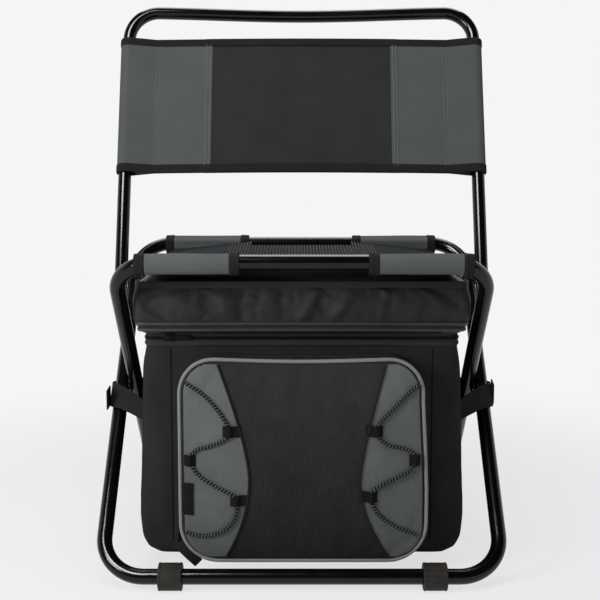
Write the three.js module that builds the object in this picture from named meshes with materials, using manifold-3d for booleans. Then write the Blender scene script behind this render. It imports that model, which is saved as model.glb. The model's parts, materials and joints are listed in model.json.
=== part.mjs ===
// Folding cooler stool: two crossed steel tube loops, a hinged backrest and a soft cooler bag.
// Millimetres, +Z up, +X to the right as seen from the front, the sitter faces -Y.
import * as THREE from 'three';
import { mergeVertices } from 'three/addons/utils/BufferGeometryUtils.js';
import Module from 'manifold-3d';

const wasm = await Module();
wasm.setup();

// Steel frame
const tubeDiameter = 16;
const outerLoopWidth = 425;
const loopGap = 1.2;
const seatBarHeight = 332;
const floorBarHeight = 13;
const seatHalfDepth = 148;
const floorHalfDepth = 155;
const loopCornerRadius = 44;
const buttGap = 0.4;
const fitGap = 0.3;

// Rivets and washers
const rivetShankDiameter = 6;
const rivetHeadDiameter = 12;
const rivetHeadHeight = 2.5;
const rivetRimShare = 0.35;
const rivetShoulderShare = 0.7;
const washerDiameter = 15;
const washerThickness = 0.6;

// Backrest tube
const backrestPivotDrop = 56;
const backrestLean = THREE.MathUtils.degToRad(18.5);
const backrestLength = 353.5;
const backrestCornerRadius = 38;
const backrestBow = 10;
const stopPinDiameter = 6;
const stopPinReach = 8;
const stopPinMargin = 1.2;
const endCapDepth = 8;
const endCapWall = 1.4;
const endCapFlange = 2.5;
const endCapChamfer = 1.6;

// Rubber feet
const footLength = 24;
const footDiameter = 28.6;
const footChamfer = 0.9;
const frontFootInset = 69.5;
const rearFootInset = 92.3;

// Seat cloth
const sleeveCloth = 1.7;
const sleeveInnerEnd = 65;
const sleeveSideInset = 20.3;
const seatCloth = 2.4;
const seatSideInset = 3;
const seatSag = 11;
const gripDepth = 24;
const gripCornerRadius = 10;

// Backrest cloth
const bandHeight = 177.5;
const bandTopMargin = 2;
const bandCloth = 3;
const wrapCloth = 1.9;
const wrapReach = 107.7;
const wrapSeamInset = 36;
const bindingHeight = 9;
const bindingCloth = 1.2;

// Cooler bag
const bagLegClearance = 7.3;
const bagTaper = 13;
const bagDepth = 200;
const bagBaseHeight = 20.5;
const bagTopHeight = 244;
const bagCornerRadius = 17;
const shellCloth = 1.2;
const foamThickness = 6;
const linerThickness = 0.8;

// Lid of the bag, with its zip
const zipBandHeight = 12;
const zipCloth = 1.5;
const zipInset = 2;
const lidSideOverhang = 7.5;
const lidEndOverhang = 4;
const lidHeight = 53.5;
const lidCornerRadius = 19;
const lidCloth = 3;
const lidFoamThickness = 8;
const flapSideMargin = 23;
const flapTopMargin = 4;
const flapBeadRadius = 2.2;
const flapBeadPitch = 6;
const sliderLength = 9;
const sliderHeight = 7;
const sliderThickness = 3;
const sliderCornerRadius = 2.3;
const sliderPullLength = 24;
const sliderPullHeight = 4.6;
const sliderPullThickness = 1.2;
const sliderPullCornerRadius = 2;
const lidSliderInset = 25.5;

// Front pocket
const pocketWidth = 256;
const pocketLow = 22;
const pocketHigh = 237;
const pocketCornerRadius = 36;
const pocketStandOff = 42;
const pipingDiameter = 5;
const gussetCloth = 1.6;
const pocketPanelThickness = 4;
const crescentCloth = 1;
const crescentNeck = 58;
const crescentArcRadius = 235;
const crescentDrop = 10;
const pocketSliderHeight = 62;
const pocketSliderBack = 22;
const zipTailWidth = 10.5;
const zipTailLength = 27;
const zipTailCloth = 1.8;
const zipTailAngle = THREE.MathUtils.degToRad(230);

// Elastic lacing on the pocket
const cordDiameter = 4;
const cordClearance = 0.4;
const tabHeight = 10;
const tabCloth = 1.2;
const tabLength = 9;
const tabStripThickness = 1.6;

// Side straps
const strapHeight = 30;
const strapDrop = 6;
const strapCloth = 2;
const strapOutset = 0.3;
const strapOverlapLength = 30;
const strapCornerRadius = 7;

// Facet counts
const tubeSides = 16;
const footSides = 20;
const bendSteps = 6;
const bowSteps = 8;
const pinSides = 14;
const arcSegments = 5;
const discSegments = 96;
const cordSides = 8;
const cordSteps = 38;
const sagSteps = 8;
const mergeTolerance = 1e-4;
const leastTurn = 1e-6;

// Sizes worked out from the driving ones
const tubeRadius = tubeDiameter / 2;
const loopPitch = tubeDiameter + loopGap;
const outerHalf = (outerLoopWidth - tubeDiameter) / 2;
const innerHalf = outerHalf - loopPitch;
const backrestHalf = outerHalf + loopPitch;
const frontFootOffset = outerHalf - frontFootInset;
const rearFootOffset = innerHalf - rearFootInset;
const sleeveOuterEnd = innerHalf - sleeveSideInset;
const seatHalfWidth = sleeveOuterEnd - seatSideInset;
const bandHigh = backrestLength - backrestCornerRadius - bandTopMargin;
const bandLow = bandHigh - bandHeight;
const wrapInnerEdge = backrestHalf - wrapReach;
const bagBaseWidth = 2 * (innerHalf - tubeRadius - bagLegClearance);
const bagTopWidth = bagBaseWidth - bagTaper;
const lidWidth = bagTopWidth + 2 * lidSideOverhang;
const lidDepth = bagDepth + 2 * lidEndOverhang;
const flapWidth = lidWidth - 2 * flapSideMargin;
const legRun = floorHalfDepth + seatHalfDepth;
const legRise = seatBarHeight - floorBarHeight;
const legLength = Math.hypot(legRun, legRise);
const legAngle = Math.atan2(legRun, legRise);
const pivotFromFloor = legLength * floorHalfDepth / legRun;
const pivotHeight = floorBarHeight + pivotFromFloor * Math.cos(legAngle);
const backrestPivotAlong = legLength - backrestPivotDrop;
const backrestPivot = new THREE.Vector3(
  0,
  -floorHalfDepth + backrestPivotAlong * Math.sin(legAngle),
  floorBarHeight + backrestPivotAlong * Math.cos(legAngle),
);
const sleeveRadius = tubeRadius + fitGap + sleeveCloth;
const holeRadius = rivetShankDiameter / 2 + fitGap;
const stopPinBelow = (tubeRadius + stopPinDiameter / 2 + fitGap) / Math.sin(legAngle - backrestLean);
const backrestTail = stopPinBelow + stopPinDiameter / 2 + stopPinMargin + endCapDepth;

// Finishes
const finishes = {
  paint: { color: 0x17181a, roughness: 0.28, metalness: 0.1 },
  steel: { color: 0x8c8f92, roughness: 0.35, metalness: 1 },
  nylon: { color: 0x1d1d1e, roughness: 0.6, metalness: 0 },
  rubber: { color: 0x3b3532, roughness: 0.85, metalness: 0 },
  greyCloth: { color: 0x6b706f, roughness: 0.9, metalness: 0 },
  blackCloth: { color: 0x2a2b2b, roughness: 0.92, metalness: 0 },
  mesh: { color: 0x1c1d1e, roughness: 0.95, metalness: 0 },
  binding: { color: 0x1f2020, roughness: 0.9, metalness: 0 },
  piping: { color: 0x97999a, roughness: 0.8, metalness: 0 },
  cord: { color: 0x242425, roughness: 0.85, metalness: 0 },
  foam: { color: 0xd8d8d4, roughness: 0.95, metalness: 0 },
  liner: { color: 0xc9ccce, roughness: 0.35, metalness: 0.2 },
};
const materials = Object.fromEntries(
  Object.entries(finishes).map(([name, look]) => [name, new THREE.MeshStandardMaterial({ name, ...look })]),
);

// Booleans
function toSolid(geometry) {
  const bare = geometry.clone();
  bare.deleteAttribute('normal');
  bare.deleteAttribute('uv');
  const merged = mergeVertices(bare, mergeTolerance);
  return new wasm.Manifold(new wasm.Mesh({
    numProp: 3,
    vertProperties: new Float32Array(merged.attributes.position.array),
    triVerts: new Uint32Array(merged.index.array),
  }));
}

function toGeometry(solid) {
  const { vertProperties, triVerts } = solid.getMesh();
  const geometry = new THREE.BufferGeometry();
  geometry.setAttribute('position', new THREE.BufferAttribute(vertProperties, 3));
  geometry.setIndex(new THREE.BufferAttribute(triVerts, 1));
  return geometry;
}

function cut(geometry, ...tools) {
  return toGeometry(tools.reduce((solid, tool) => solid.subtract(toSolid(tool)), toSolid(geometry)));
}

function join(geometry, ...others) {
  return toGeometry(others.reduce((solid, other) => solid.add(toSolid(other)), toSolid(geometry)));
}

function overlapOf(geometry, other) {
  return toGeometry(toSolid(geometry).intersect(toSolid(other)));
}

// Outlines and sweeps
function ring(radius, sides) {
  return Array.from({ length: sides }, (_, i) => {
    const angle = (i + 0.5) * 2 * Math.PI / sides;
    return new THREE.Vector2(radius * Math.cos(angle), radius * Math.sin(angle));
  });
}

function discShape(radius, sides) {
  return new THREE.Shape(ring(radius, sides));
}

function roundedRectPoints(halfWidth, low, high, radius) {
  const corners = [
    [halfWidth - radius, high - radius, 0],
    [-halfWidth + radius, high - radius, 1],
    [-halfWidth + radius, low + radius, 2],
    [halfWidth - radius, low + radius, 3],
  ];
  return corners.flatMap(([x, y, quarter]) => Array.from({ length: arcSegments + 1 }, (_, i) => {
    const angle = (quarter + i / arcSegments) * Math.PI / 2;
    return new THREE.Vector2(x + radius * Math.cos(angle), y + radius * Math.sin(angle));
  }));
}

function roundedRect(halfWidth, low, high, radius) {
  return new THREE.Shape(roundedRectPoints(halfWidth, low, high, radius));
}

function roundedFrame(halfWidth, low, high, radius, wall) {
  const shape = roundedRect(halfWidth, low, high, radius);
  const hole = roundedRectPoints(halfWidth - wall, low + wall, high - wall, radius - wall);
  shape.holes.push(new THREE.Path(hole));
  return shape;
}

function extruded(shape, depth) {
  return new THREE.ExtrudeGeometry(shape, { depth, bevelEnabled: false, steps: 1 });
}

// A prism whose outline lies in X and Z, from a front Y towards the back
function prismAlongY(shape, frontY, depth) {
  return extruded(shape, depth).rotateX(Math.PI / 2).translate(0, frontY + depth, 0);
}

// A prism whose outline lies in Y and Z, centred on X = 0
function prismAlongX(shape, width) {
  return extruded(shape, width).rotateZ(Math.PI / 2).rotateY(Math.PI / 2).translate(-width / 2, 0, 0);
}

class StationPath extends THREE.Curve {
  constructor(stations) {
    super();
    this.stations = stations;
  }

  at(u) {
    return this.stations[Math.round(u * (this.stations.length - 1))];
  }

  getPointAt(u, target = new THREE.Vector3()) {
    return target.copy(this.at(u).point);
  }

  getTangentAt(u, target = new THREE.Vector3()) {
    return target.copy(this.at(u).tangent);
  }
}

function sweep(shape, stations) {
  return new THREE.ExtrudeGeometry(shape, {
    steps: stations.length - 1,
    extrudePath: new StationPath(stations),
    bevelEnabled: false,
  });
}

// Stations of a run of straight lines joined by arcs: only where the run starts, bends and ends
function bentRun(points, radius) {
  const stations = [];
  const last = points.length - 1;
  points.forEach((point, i) => {
    const before = i > 0 ? point.clone().sub(points[i - 1]).normalize() : null;
    const after = i < last ? points[i + 1].clone().sub(point).normalize() : null;
    const turn = before && after ? before.angleTo(after) : 0;
    if (turn < leastTurn) {
      stations.push({ point: point.clone(), tangent: (after ?? before).clone() });
      return;
    }
    const setback = radius * Math.tan(turn / 2);
    const start = point.clone().addScaledVector(before, -setback);
    const inward = after.clone().addScaledVector(before, -after.dot(before)).normalize();
    for (let step = 0; step <= bendSteps; step += 1) {
      const angle = turn * step / bendSteps;
      stations.push({
        point: start.clone()
          .addScaledVector(before, radius * Math.sin(angle))
          .addScaledVector(inward, radius * (1 - Math.cos(angle))),
        tangent: before.clone().multiplyScalar(Math.cos(angle)).addScaledVector(inward, Math.sin(angle)),
      });
    }
  });
  return stations;
}

// Solids turned about the X axis, from a profile of [x, radius] pairs
function turnedAlongX(profile, sides) {
  const points = profile.map(([x, radius]) => new THREE.Vector2(radius, x));
  return new THREE.LatheGeometry(points, sides).rotateZ(-Math.PI / 2);
}

function pinAlongX(radius, fromX, toX) {
  return turnedAlongX([[fromX, 0], [fromX, radius], [toX, radius], [toX, 0]], pinSides);
}

function mirrored(geometry) {
  const copy = geometry.index ? geometry.toNonIndexed() : geometry.clone();
  copy.scale(-1, 1, 1);
  const position = copy.attributes.position;
  const a = new THREE.Vector3();
  const b = new THREE.Vector3();
  for (let i = 0; i < position.count; i += 3) {
    a.fromBufferAttribute(position, i);
    b.fromBufferAttribute(position, i + 1);
    position.setXYZ(i, b.x, b.y, b.z);
    position.setXYZ(i + 1, a.x, a.y, a.z);
  }
  return copy;
}

// The model and its four frames
const stool = new THREE.Group();
const outerFrame = new THREE.Group();
outerFrame.position.set(0, -floorHalfDepth, floorBarHeight);
outerFrame.rotation.x = -legAngle;
const innerFrame = new THREE.Group();
innerFrame.position.set(0, floorHalfDepth, floorBarHeight);
innerFrame.rotation.x = legAngle;
const backrestFrame = new THREE.Group();
backrestFrame.position.copy(backrestPivot);
backrestFrame.rotation.x = -backrestLean;
stool.add(outerFrame, innerFrame, backrestFrame);
stool.updateMatrixWorld(true);

function addPiece(parent, name, geometry, material) {
  const mesh = new THREE.Mesh(geometry, material);
  mesh.name = name;
  parent.add(mesh);
}

// The same piece on both sides, drawn on the +X side
function addPair(parent, name, geometry, material) {
  addPiece(parent, `${name}_r`, geometry, material);
  addPiece(parent, `${name}_l`, mirrored(geometry), material);
}

function bothSides(geometry) {
  return [geometry, mirrored(geometry)];
}

// Leg loops, drawn flat in their own frame: floor bar at Z = 0, seat bar at Z = legLength
function loopTube(half, radius) {
  const points = [
    [buttGap / 2, 0], [half, 0], [half, legLength], [-half, legLength], [-half, 0], [-buttGap / 2, 0],
  ].map(([x, z]) => new THREE.Vector3(x, 0, z));
  return sweep(discShape(radius, tubeSides), bentRun(points, loopCornerRadius));
}

function legLoop(half, ...holes) {
  return cut(loopTube(half, tubeRadius), ...holes.flatMap(bothSides));
}

function crossHole(half, radius, z) {
  return pinAlongX(radius, half - tubeDiameter, half + tubeDiameter).translate(0, 0, z);
}

addPiece(
  outerFrame,
  'outer_leg_loop',
  legLoop(
    outerHalf,
    crossHole(outerHalf, holeRadius, pivotFromFloor),
    crossHole(outerHalf, holeRadius, backrestPivotAlong),
  ),
  materials.paint,
);
addPiece(
  innerFrame,
  'inner_leg_loop',
  legLoop(innerHalf, crossHole(innerHalf, holeRadius, pivotFromFloor)),
  materials.paint,
);

// A low rounded head, from its seat outwards along X
function headProfile(seat, direction) {
  const head = rivetHeadDiameter / 2;
  const height = direction * rivetHeadHeight;
  return [
    [seat, head],
    [seat + height * rivetRimShare, head],
    [seat + height * rivetShoulderShare, head * rivetShoulderShare],
    [seat + height, 0],
  ];
}

// Rivets and washers between two tubes that lie side by side
function rivet(innerTube, outerTube) {
  const shank = rivetShankDiameter / 2;
  const start = innerTube - tubeRadius - fitGap;
  const end = outerTube + tubeRadius + fitGap;
  return turnedAlongX([
    ...headProfile(start, -1).reverse(),
    [start, shank],
    [end, shank],
    ...headProfile(end, 1),
  ], pinSides);
}

function washer(innerTube) {
  const start = innerTube + tubeRadius + (loopGap - washerThickness) / 2;
  return turnedAlongX([
    [start, holeRadius],
    [start, washerDiameter / 2],
    [start + washerThickness, washerDiameter / 2],
    [start + washerThickness, holeRadius],
    [start, holeRadius],
  ], pinSides);
}

addPair(
  outerFrame,
  'pivot_rivet',
  rivet(innerHalf, outerHalf).translate(0, 0, pivotFromFloor),
  materials.steel,
);
addPair(
  outerFrame,
  'pivot_washer',
  washer(innerHalf).translate(0, 0, pivotFromFloor),
  materials.nylon,
);
addPair(
  outerFrame,
  'backrest_rivet',
  rivet(outerHalf, backrestHalf).translate(0, 0, backrestPivotAlong),
  materials.steel,
);
addPair(
  outerFrame,
  'backrest_washer',
  washer(outerHalf).translate(0, 0, backrestPivotAlong),
  materials.nylon,
);

// Rubber feet: sleeves on the floor bars, cut flat where they stand
function foot(offset, frontal) {
  const bore = tubeRadius + fitGap;
  const radius = footDiameter / 2;
  const sleeve = turnedAlongX([
    [0, bore],
    [0, radius - footChamfer],
    [footChamfer, radius],
    [footLength - footChamfer, radius],
    [footLength, radius - footChamfer],
    [footLength, bore],
    [0, bore],
  ], footSides).translate(offset - footLength / 2, frontal * floorHalfDepth, floorBarHeight);
  const floor = new THREE.BoxGeometry(2 * footLength, 2 * footDiameter, footDiameter)
    .translate(offset, frontal * floorHalfDepth, -footDiameter / 2);
  return cut(sleeve, floor);
}

addPair(stool, 'front_foot', foot(frontFootOffset, -1), materials.rubber);
addPair(stool, 'rear_foot', foot(rearFootOffset, 1), materials.rubber);

// Seat sleeves: cloth channels that follow the seat bar into the start of its bend
function sleeveStations(half) {
  const bendStart = half - loopCornerRadius;
  const along = new THREE.Vector3(1, 0, 0);
  const stations = [{ point: new THREE.Vector3(sleeveInnerEnd, 0, legLength), tangent: along.clone() }];
  const straightEnd = Math.min(bendStart, sleeveOuterEnd);
  stations.push({ point: new THREE.Vector3(straightEnd, 0, legLength), tangent: along.clone() });
  const bendAngle = Math.asin(Math.max(0, sleeveOuterEnd - bendStart) / loopCornerRadius);
  for (let step = 1; bendAngle > 0 && step <= bendSteps; step += 1) {
    const angle = bendAngle * step / bendSteps;
    stations.push({
      point: new THREE.Vector3(
        bendStart + loopCornerRadius * Math.sin(angle),
        0,
        legLength - loopCornerRadius * (1 - Math.cos(angle)),
      ),
      tangent: new THREE.Vector3(Math.cos(angle), 0, -Math.sin(angle)),
    });
  }
  return stations;
}

function seatSleeve(half) {
  const channel = sweep(discShape(sleeveRadius, tubeSides), sleeveStations(half));
  return cut(channel, loopTube(half, tubeRadius + fitGap));
}

addPair(innerFrame, 'front_sleeve', seatSleeve(innerHalf), materials.greyCloth);
addPair(outerFrame, 'rear_sleeve', seatSleeve(outerHalf), materials.greyCloth);

// Seat panel: a sling between the sleeves, cut away at both hand grips and clear of the sleeves' bends
function seatPanel() {
  const edge = seatHalfDepth - sleeveRadius - fitGap;
  const heightAt = (y) => seatBarHeight - seatSag * (1 - (y / edge) ** 2);
  const stops = Array.from({ length: sagSteps + 1 }, (_, i) => edge * (2 * i / sagSteps - 1));
  const outline = [
    ...stops.map((y) => new THREE.Vector2(y, heightAt(y) - seatCloth / 2)),
    ...stops.toReversed().map((y) => new THREE.Vector2(y, heightAt(y) + seatCloth / 2)),
  ];
  const sling = prismAlongX(new THREE.Shape(outline), 2 * seatHalfWidth);
  const grip = extruded(
    roundedRect(sleeveInnerEnd, -gripDepth - gripCornerRadius, gripDepth, gripCornerRadius),
    tubeDiameter * 2,
  ).translate(0, 0, seatBarHeight - tubeDiameter);
  const sleeveClearance = discShape(sleeveRadius + fitGap, tubeSides);
  const frontClearance = sweep(sleeveClearance, sleeveStations(innerHalf))
    .applyMatrix4(innerFrame.matrixWorld);
  const rearClearance = sweep(sleeveClearance, sleeveStations(outerHalf))
    .applyMatrix4(outerFrame.matrixWorld);
  return cut(
    sling,
    grip.clone().translate(0, -edge, 0),
    grip.clone().rotateZ(Math.PI).translate(0, edge, 0),
    ...bothSides(frontClearance),
    ...bothSides(rearClearance),
  );
}

addPiece(stool, 'seat_panel', seatPanel(), materials.mesh);

// Backrest tube: a U with rounded corners, whose top bar bows backwards
function backrestStations() {
  const half = backrestHalf;
  const barEnd = half - backrestCornerRadius;
  const bar = Array.from({ length: bowSteps - 1 }, (_, i) => barEnd * (1 - 2 * (i + 1) / bowSteps));
  const points = [
    [half, -backrestTail],
    [half, backrestLength],
    ...bar.map((x) => [x, backrestLength]),
    [-half, backrestLength],
    [-half, -backrestTail],
  ].map(([x, z]) => new THREE.Vector3(x, 0, z));
  return bentRun(points, backrestCornerRadius).map(({ point, tangent }) => {
    if (point.z < backrestLength - backrestCornerRadius - fitGap) {
      return { point, tangent };
    }
    const phase = Math.PI * point.x / half;
    const slope = -backrestBow * Math.PI / (2 * half) * Math.sin(phase);
    return {
      point: point.clone().setY(backrestBow * (1 + Math.cos(phase)) / 2),
      tangent: tangent.clone().setY(slope * tangent.x).normalize(),
    };
  });
}

const capRadius = tubeRadius - endCapWall;
const capSocket = new THREE.CylinderGeometry(capRadius, capRadius, 2 * endCapDepth, pinSides)
  .rotateX(Math.PI / 2)
  .translate(backrestHalf, 0, -backrestTail);
addPiece(
  backrestFrame,
  'backrest_tube',
  cut(
    sweep(discShape(tubeRadius, tubeSides), backrestStations()),
    ...bothSides(crossHole(backrestHalf, holeRadius, 0)),
    ...bothSides(crossHole(backrestHalf, stopPinDiameter / 2 + fitGap, -stopPinBelow)),
    ...bothSides(capSocket),
  ),
  materials.paint,
);

// Stop pin: rests on the back of the outer loop's leg and holds the lean
const stopPinHead = backrestHalf + tubeRadius + fitGap;
addPair(
  backrestFrame,
  'backrest_stop_pin',
  turnedAlongX([
    [backrestHalf - tubeRadius - stopPinReach, 0],
    [backrestHalf - tubeRadius - stopPinReach, stopPinDiameter / 2],
    [stopPinHead, stopPinDiameter / 2],
    ...headProfile(stopPinHead, 1),
  ], pinSides).translate(0, 0, -stopPinBelow),
  materials.steel,
);

const plugRadius = capRadius - fitGap;
const endCap = new THREE.LatheGeometry([
  [0, -endCapFlange],
  [tubeRadius - endCapChamfer, -endCapFlange],
  [tubeRadius, endCapChamfer - endCapFlange],
  [tubeRadius, -fitGap],
  [plugRadius, -fitGap],
  [plugRadius, endCapDepth - fitGap],
  [0, endCapDepth - fitGap],
].map(([radius, y]) => new THREE.Vector2(radius, y)), pinSides)
  .rotateX(Math.PI / 2)
  .translate(backrestHalf, 0, -backrestTail);
addPair(backrestFrame, 'backrest_end_cap', endCap, materials.nylon);

// Backrest cloth: end wraps with sleeves round the tube, a centre panel and two edge bindings
function wrapShape() {
  const outer = tubeRadius + fitGap + wrapCloth;
  const inner = tubeRadius + fitGap;
  const seam = backrestHalf - wrapSeamInset;
  const turnSteps = 2 * bendSteps;
  const roundTube = (radius, apexGap) => {
    const lean = Math.acos(radius / apexGap);
    return Array.from({ length: turnSteps + 1 }, (_, i) => {
      const angle = -(Math.PI - lean) + 2 * (Math.PI - lean) * i / turnSteps;
      return new THREE.Vector2(backrestHalf + radius * Math.cos(angle), radius * Math.sin(angle));
    });
  };
  const shape = new THREE.Shape([
    new THREE.Vector2(wrapInnerEdge, -bandCloth / 2),
    new THREE.Vector2(seam, -bandCloth / 2),
    ...roundTube(outer, wrapSeamInset),
    new THREE.Vector2(seam, bandCloth / 2),
    new THREE.Vector2(wrapInnerEdge, bandCloth / 2),
  ]);
  const pocketApex = wrapSeamInset - bandCloth - wrapCloth;
  shape.holes.push(new THREE.Path([
    new THREE.Vector2(backrestHalf - pocketApex, 0),
    ...roundTube(inner, pocketApex),
  ]));
  return shape;
}

addPair(
  backrestFrame,
  'backrest_wrap',
  extruded(wrapShape(), bandHeight).translate(0, 0, bandLow),
  materials.greyCloth,
);
const centreHalf = wrapInnerEdge - fitGap;
addPiece(
  backrestFrame,
  'backrest_panel',
  new THREE.BoxGeometry(2 * centreHalf, bandCloth, bandHeight).translate(0, 0, (bandLow + bandHigh) / 2),
  materials.blackCloth,
);

function bindingShape() {
  const slot = bandCloth / 2 + fitGap;
  const skin = slot + bindingCloth;
  const lip = bindingHeight - bindingCloth - fitGap;
  return new THREE.Shape([
    [-skin, -lip], [-slot, -lip], [-slot, fitGap], [slot, fitGap], [slot, -lip], [skin, -lip],
    [skin, fitGap + bindingCloth / 2], [slot, fitGap + bindingCloth], [-slot, fitGap + bindingCloth],
    [-skin, fitGap + bindingCloth / 2],
  ].map(([y, z]) => new THREE.Vector2(y, z)));
}

const bindingLength = 2 * (backrestHalf - wrapSeamInset - fitGap);
addPiece(
  backrestFrame,
  'backrest_binding_top',
  prismAlongX(bindingShape(), bindingLength).translate(0, 0, bandHigh),
  materials.binding,
);
addPiece(
  backrestFrame,
  'backrest_binding_bottom',
  prismAlongX(bindingShape(), bindingLength).rotateX(Math.PI).translate(0, 0, bandLow),
  materials.binding,
);

// Cooler bag: shell, foam and liner, each an open box inside the last, all a little wider at the base
const flarePerHeight = (bagBaseWidth / bagTopWidth - 1) / (bagTopHeight - bagBaseHeight);

function flared(geometry) {
  const position = geometry.attributes.position;
  for (let i = 0; i < position.count; i += 1) {
    position.setX(i, position.getX(i) * (1 + flarePerHeight * (bagTopHeight - position.getZ(i))));
  }
  return geometry;
}

function openBox(inset, wall) {
  const low = bagBaseHeight + inset;
  const halfWidth = bagTopWidth / 2 - inset;
  const halfDepth = bagDepth / 2 - inset;
  const radius = bagCornerRadius - inset;
  const block = extruded(roundedRect(halfWidth, -halfDepth, halfDepth, radius), bagTopHeight - low)
    .translate(0, 0, low);
  const hollow = extruded(
    roundedRect(halfWidth - wall, -halfDepth + wall, halfDepth - wall, Math.max(radius - wall, wall)),
    bagTopHeight - low,
  ).translate(0, 0, low + wall);
  return flared(cut(block, hollow));
}

const foamInset = shellCloth + fitGap;
const linerInset = foamInset + foamThickness + fitGap;
addPiece(stool, 'cooler_shell', openBox(0, shellCloth), materials.blackCloth);
addPiece(stool, 'cooler_foam', openBox(foamInset, foamThickness), materials.foam);
addPiece(stool, 'cooler_liner', openBox(linerInset, linerThickness), materials.liner);

// Zip band between the bag and its lid
const zipLow = bagTopHeight + fitGap;
const zipHalfWidth = bagTopWidth / 2 - zipInset;
const zipHalfDepth = bagDepth / 2 - zipInset;
addPiece(
  stool,
  'lid_zip_band',
  extruded(
    roundedFrame(zipHalfWidth, -zipHalfDepth, zipHalfDepth, bagCornerRadius - zipInset, zipCloth),
    zipBandHeight - 2 * fitGap,
  ).translate(0, 0, zipLow),
  materials.binding,
);

// Lid: a shallow cap whose front skirt is a flap of its own
const lidLow = bagTopHeight + zipBandHeight;
const lidHigh = lidLow + lidHeight;
const lidHalfDepth = lidDepth / 2;
const flapHigh = lidHigh - lidCloth - flapTopMargin;

function lidCap() {
  const block = extruded(
    roundedRect(lidWidth / 2, -lidHalfDepth, lidHalfDepth, lidCornerRadius),
    lidHeight,
  ).translate(0, 0, lidLow);
  const hollow = extruded(
    roundedRect(
      lidWidth / 2 - lidCloth,
      -lidHalfDepth + lidCloth,
      lidHalfDepth - lidCloth,
      lidCornerRadius - lidCloth,
    ),
    lidHeight,
  ).translate(0, 0, lidLow - lidCloth);
  const ledgeDepth = lidWidth / 2 - zipHalfWidth + zipCloth;
  const ledge = extruded(
    roundedFrame(
      lidWidth / 2 - fitGap,
      -lidHalfDepth + fitGap,
      lidHalfDepth - fitGap,
      lidCornerRadius - fitGap,
      ledgeDepth,
    ),
    lidCloth,
  ).translate(0, 0, lidLow);
  const flapHole = new THREE.BoxGeometry(
    flapWidth,
    2 * (ledgeDepth + lidCloth),
    2 * (flapHigh - lidLow),
  ).translate(0, -lidHalfDepth, lidLow);
  return cut(join(cut(block, hollow), ledge), flapHole);
}

addPiece(stool, 'lid_cap', lidCap(), materials.blackCloth);

function lidFlap() {
  const front = -lidHalfDepth;
  const back = front + lidCloth;
  const low = lidLow + fitGap;
  const high = flapHigh - fitGap;
  const outline = [[back, high], [front, high]];
  for (let bead = 1; bead >= 0; bead -= 1) {
    const middle = low + flapBeadRadius + bead * flapBeadPitch;
    for (let step = 0; step <= arcSegments; step += 1) {
      const angle = Math.PI * (step / arcSegments - 0.5);
      outline.push([front - flapBeadRadius * Math.cos(angle), middle - flapBeadRadius * Math.sin(angle)]);
    }
  }
  outline.push([back, low]);
  const shape = new THREE.Shape(outline.map(([y, z]) => new THREE.Vector2(y, z)));
  return prismAlongX(shape, flapWidth - 2 * fitGap);
}

addPiece(stool, 'lid_flap', lidFlap(), materials.blackCloth);
addPiece(
  stool,
  'lid_foam',
  extruded(
    roundedRect(
      lidWidth / 2 - lidCloth - fitGap,
      -lidHalfDepth + lidCloth + fitGap,
      lidHalfDepth - lidCloth - fitGap,
      lidCornerRadius - lidCloth - fitGap,
    ),
    lidFoamThickness,
  ).translate(0, 0, lidHigh - lidCloth - fitGap - lidFoamThickness),
  materials.foam,
);

// Zip slider with its pull, drawn on the X-Z plane with the pull along +X
function zipSlider() {
  const halfPull = sliderPullHeight / 2;
  const body = roundedRect(sliderLength / 2, -sliderHeight / 2, sliderHeight / 2, sliderCornerRadius);
  const pull = roundedRect(sliderPullLength / 2, -halfPull, halfPull, sliderPullCornerRadius);
  return join(
    prismAlongY(body, -sliderThickness, sliderThickness),
    prismAlongY(pull, -sliderPullThickness, sliderPullThickness).translate(sliderPullLength / 2, 0, 0),
  );
}

addPiece(
  stool,
  'lid_zip_slider',
  zipSlider().translate(
    lidSliderInset - zipHalfWidth,
    -zipHalfDepth - fitGap,
    bagTopHeight + zipBandHeight / 2,
  ),
  materials.steel,
);

// Front pocket: gusset, front panel edged with piping, two crescents
const pipingRadius = pipingDiameter / 2;
const bagFront = -bagDepth / 2;
const pocketFront = bagFront - pocketStandOff;
const seamHalf = pocketWidth / 2 - pipingRadius;
const seamLow = pocketLow + pipingRadius;
const seamHigh = pocketHigh - pipingRadius;
const seamRadius = pocketCornerRadius - pipingRadius;
const pipingY = pocketFront + pipingRadius;
const gussetFront = pipingY + pipingRadius + fitGap;
const gussetBack = bagFront - fitGap;
addPiece(
  stool,
  'pocket_gusset',
  prismAlongY(
    roundedFrame(seamHalf, seamLow, seamHigh, seamRadius, gussetCloth),
    gussetFront,
    gussetBack - gussetFront,
  ),
  materials.blackCloth,
);

const pipingRun = [
  [-buttGap / 2, seamLow], [-seamHalf, seamLow], [-seamHalf, seamHigh],
  [seamHalf, seamHigh], [seamHalf, seamLow], [buttGap / 2, seamLow],
].map(([x, z]) => new THREE.Vector3(x, pipingY, z));
addPiece(
  stool,
  'pocket_piping',
  sweep(discShape(pipingRadius, cordSides), bentRun(pipingRun, seamRadius)),
  materials.piping,
);

const panelInset = pipingRadius + fitGap;
const panelShape = roundedRect(
  seamHalf - panelInset,
  seamLow + panelInset,
  seamHigh - panelInset,
  seamRadius - panelInset,
);
const panelFront = pipingY - pocketPanelThickness / 2;
addPiece(
  stool,
  'pocket_front',
  prismAlongY(panelShape, panelFront, pocketPanelThickness),
  materials.blackCloth,
);

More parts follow.
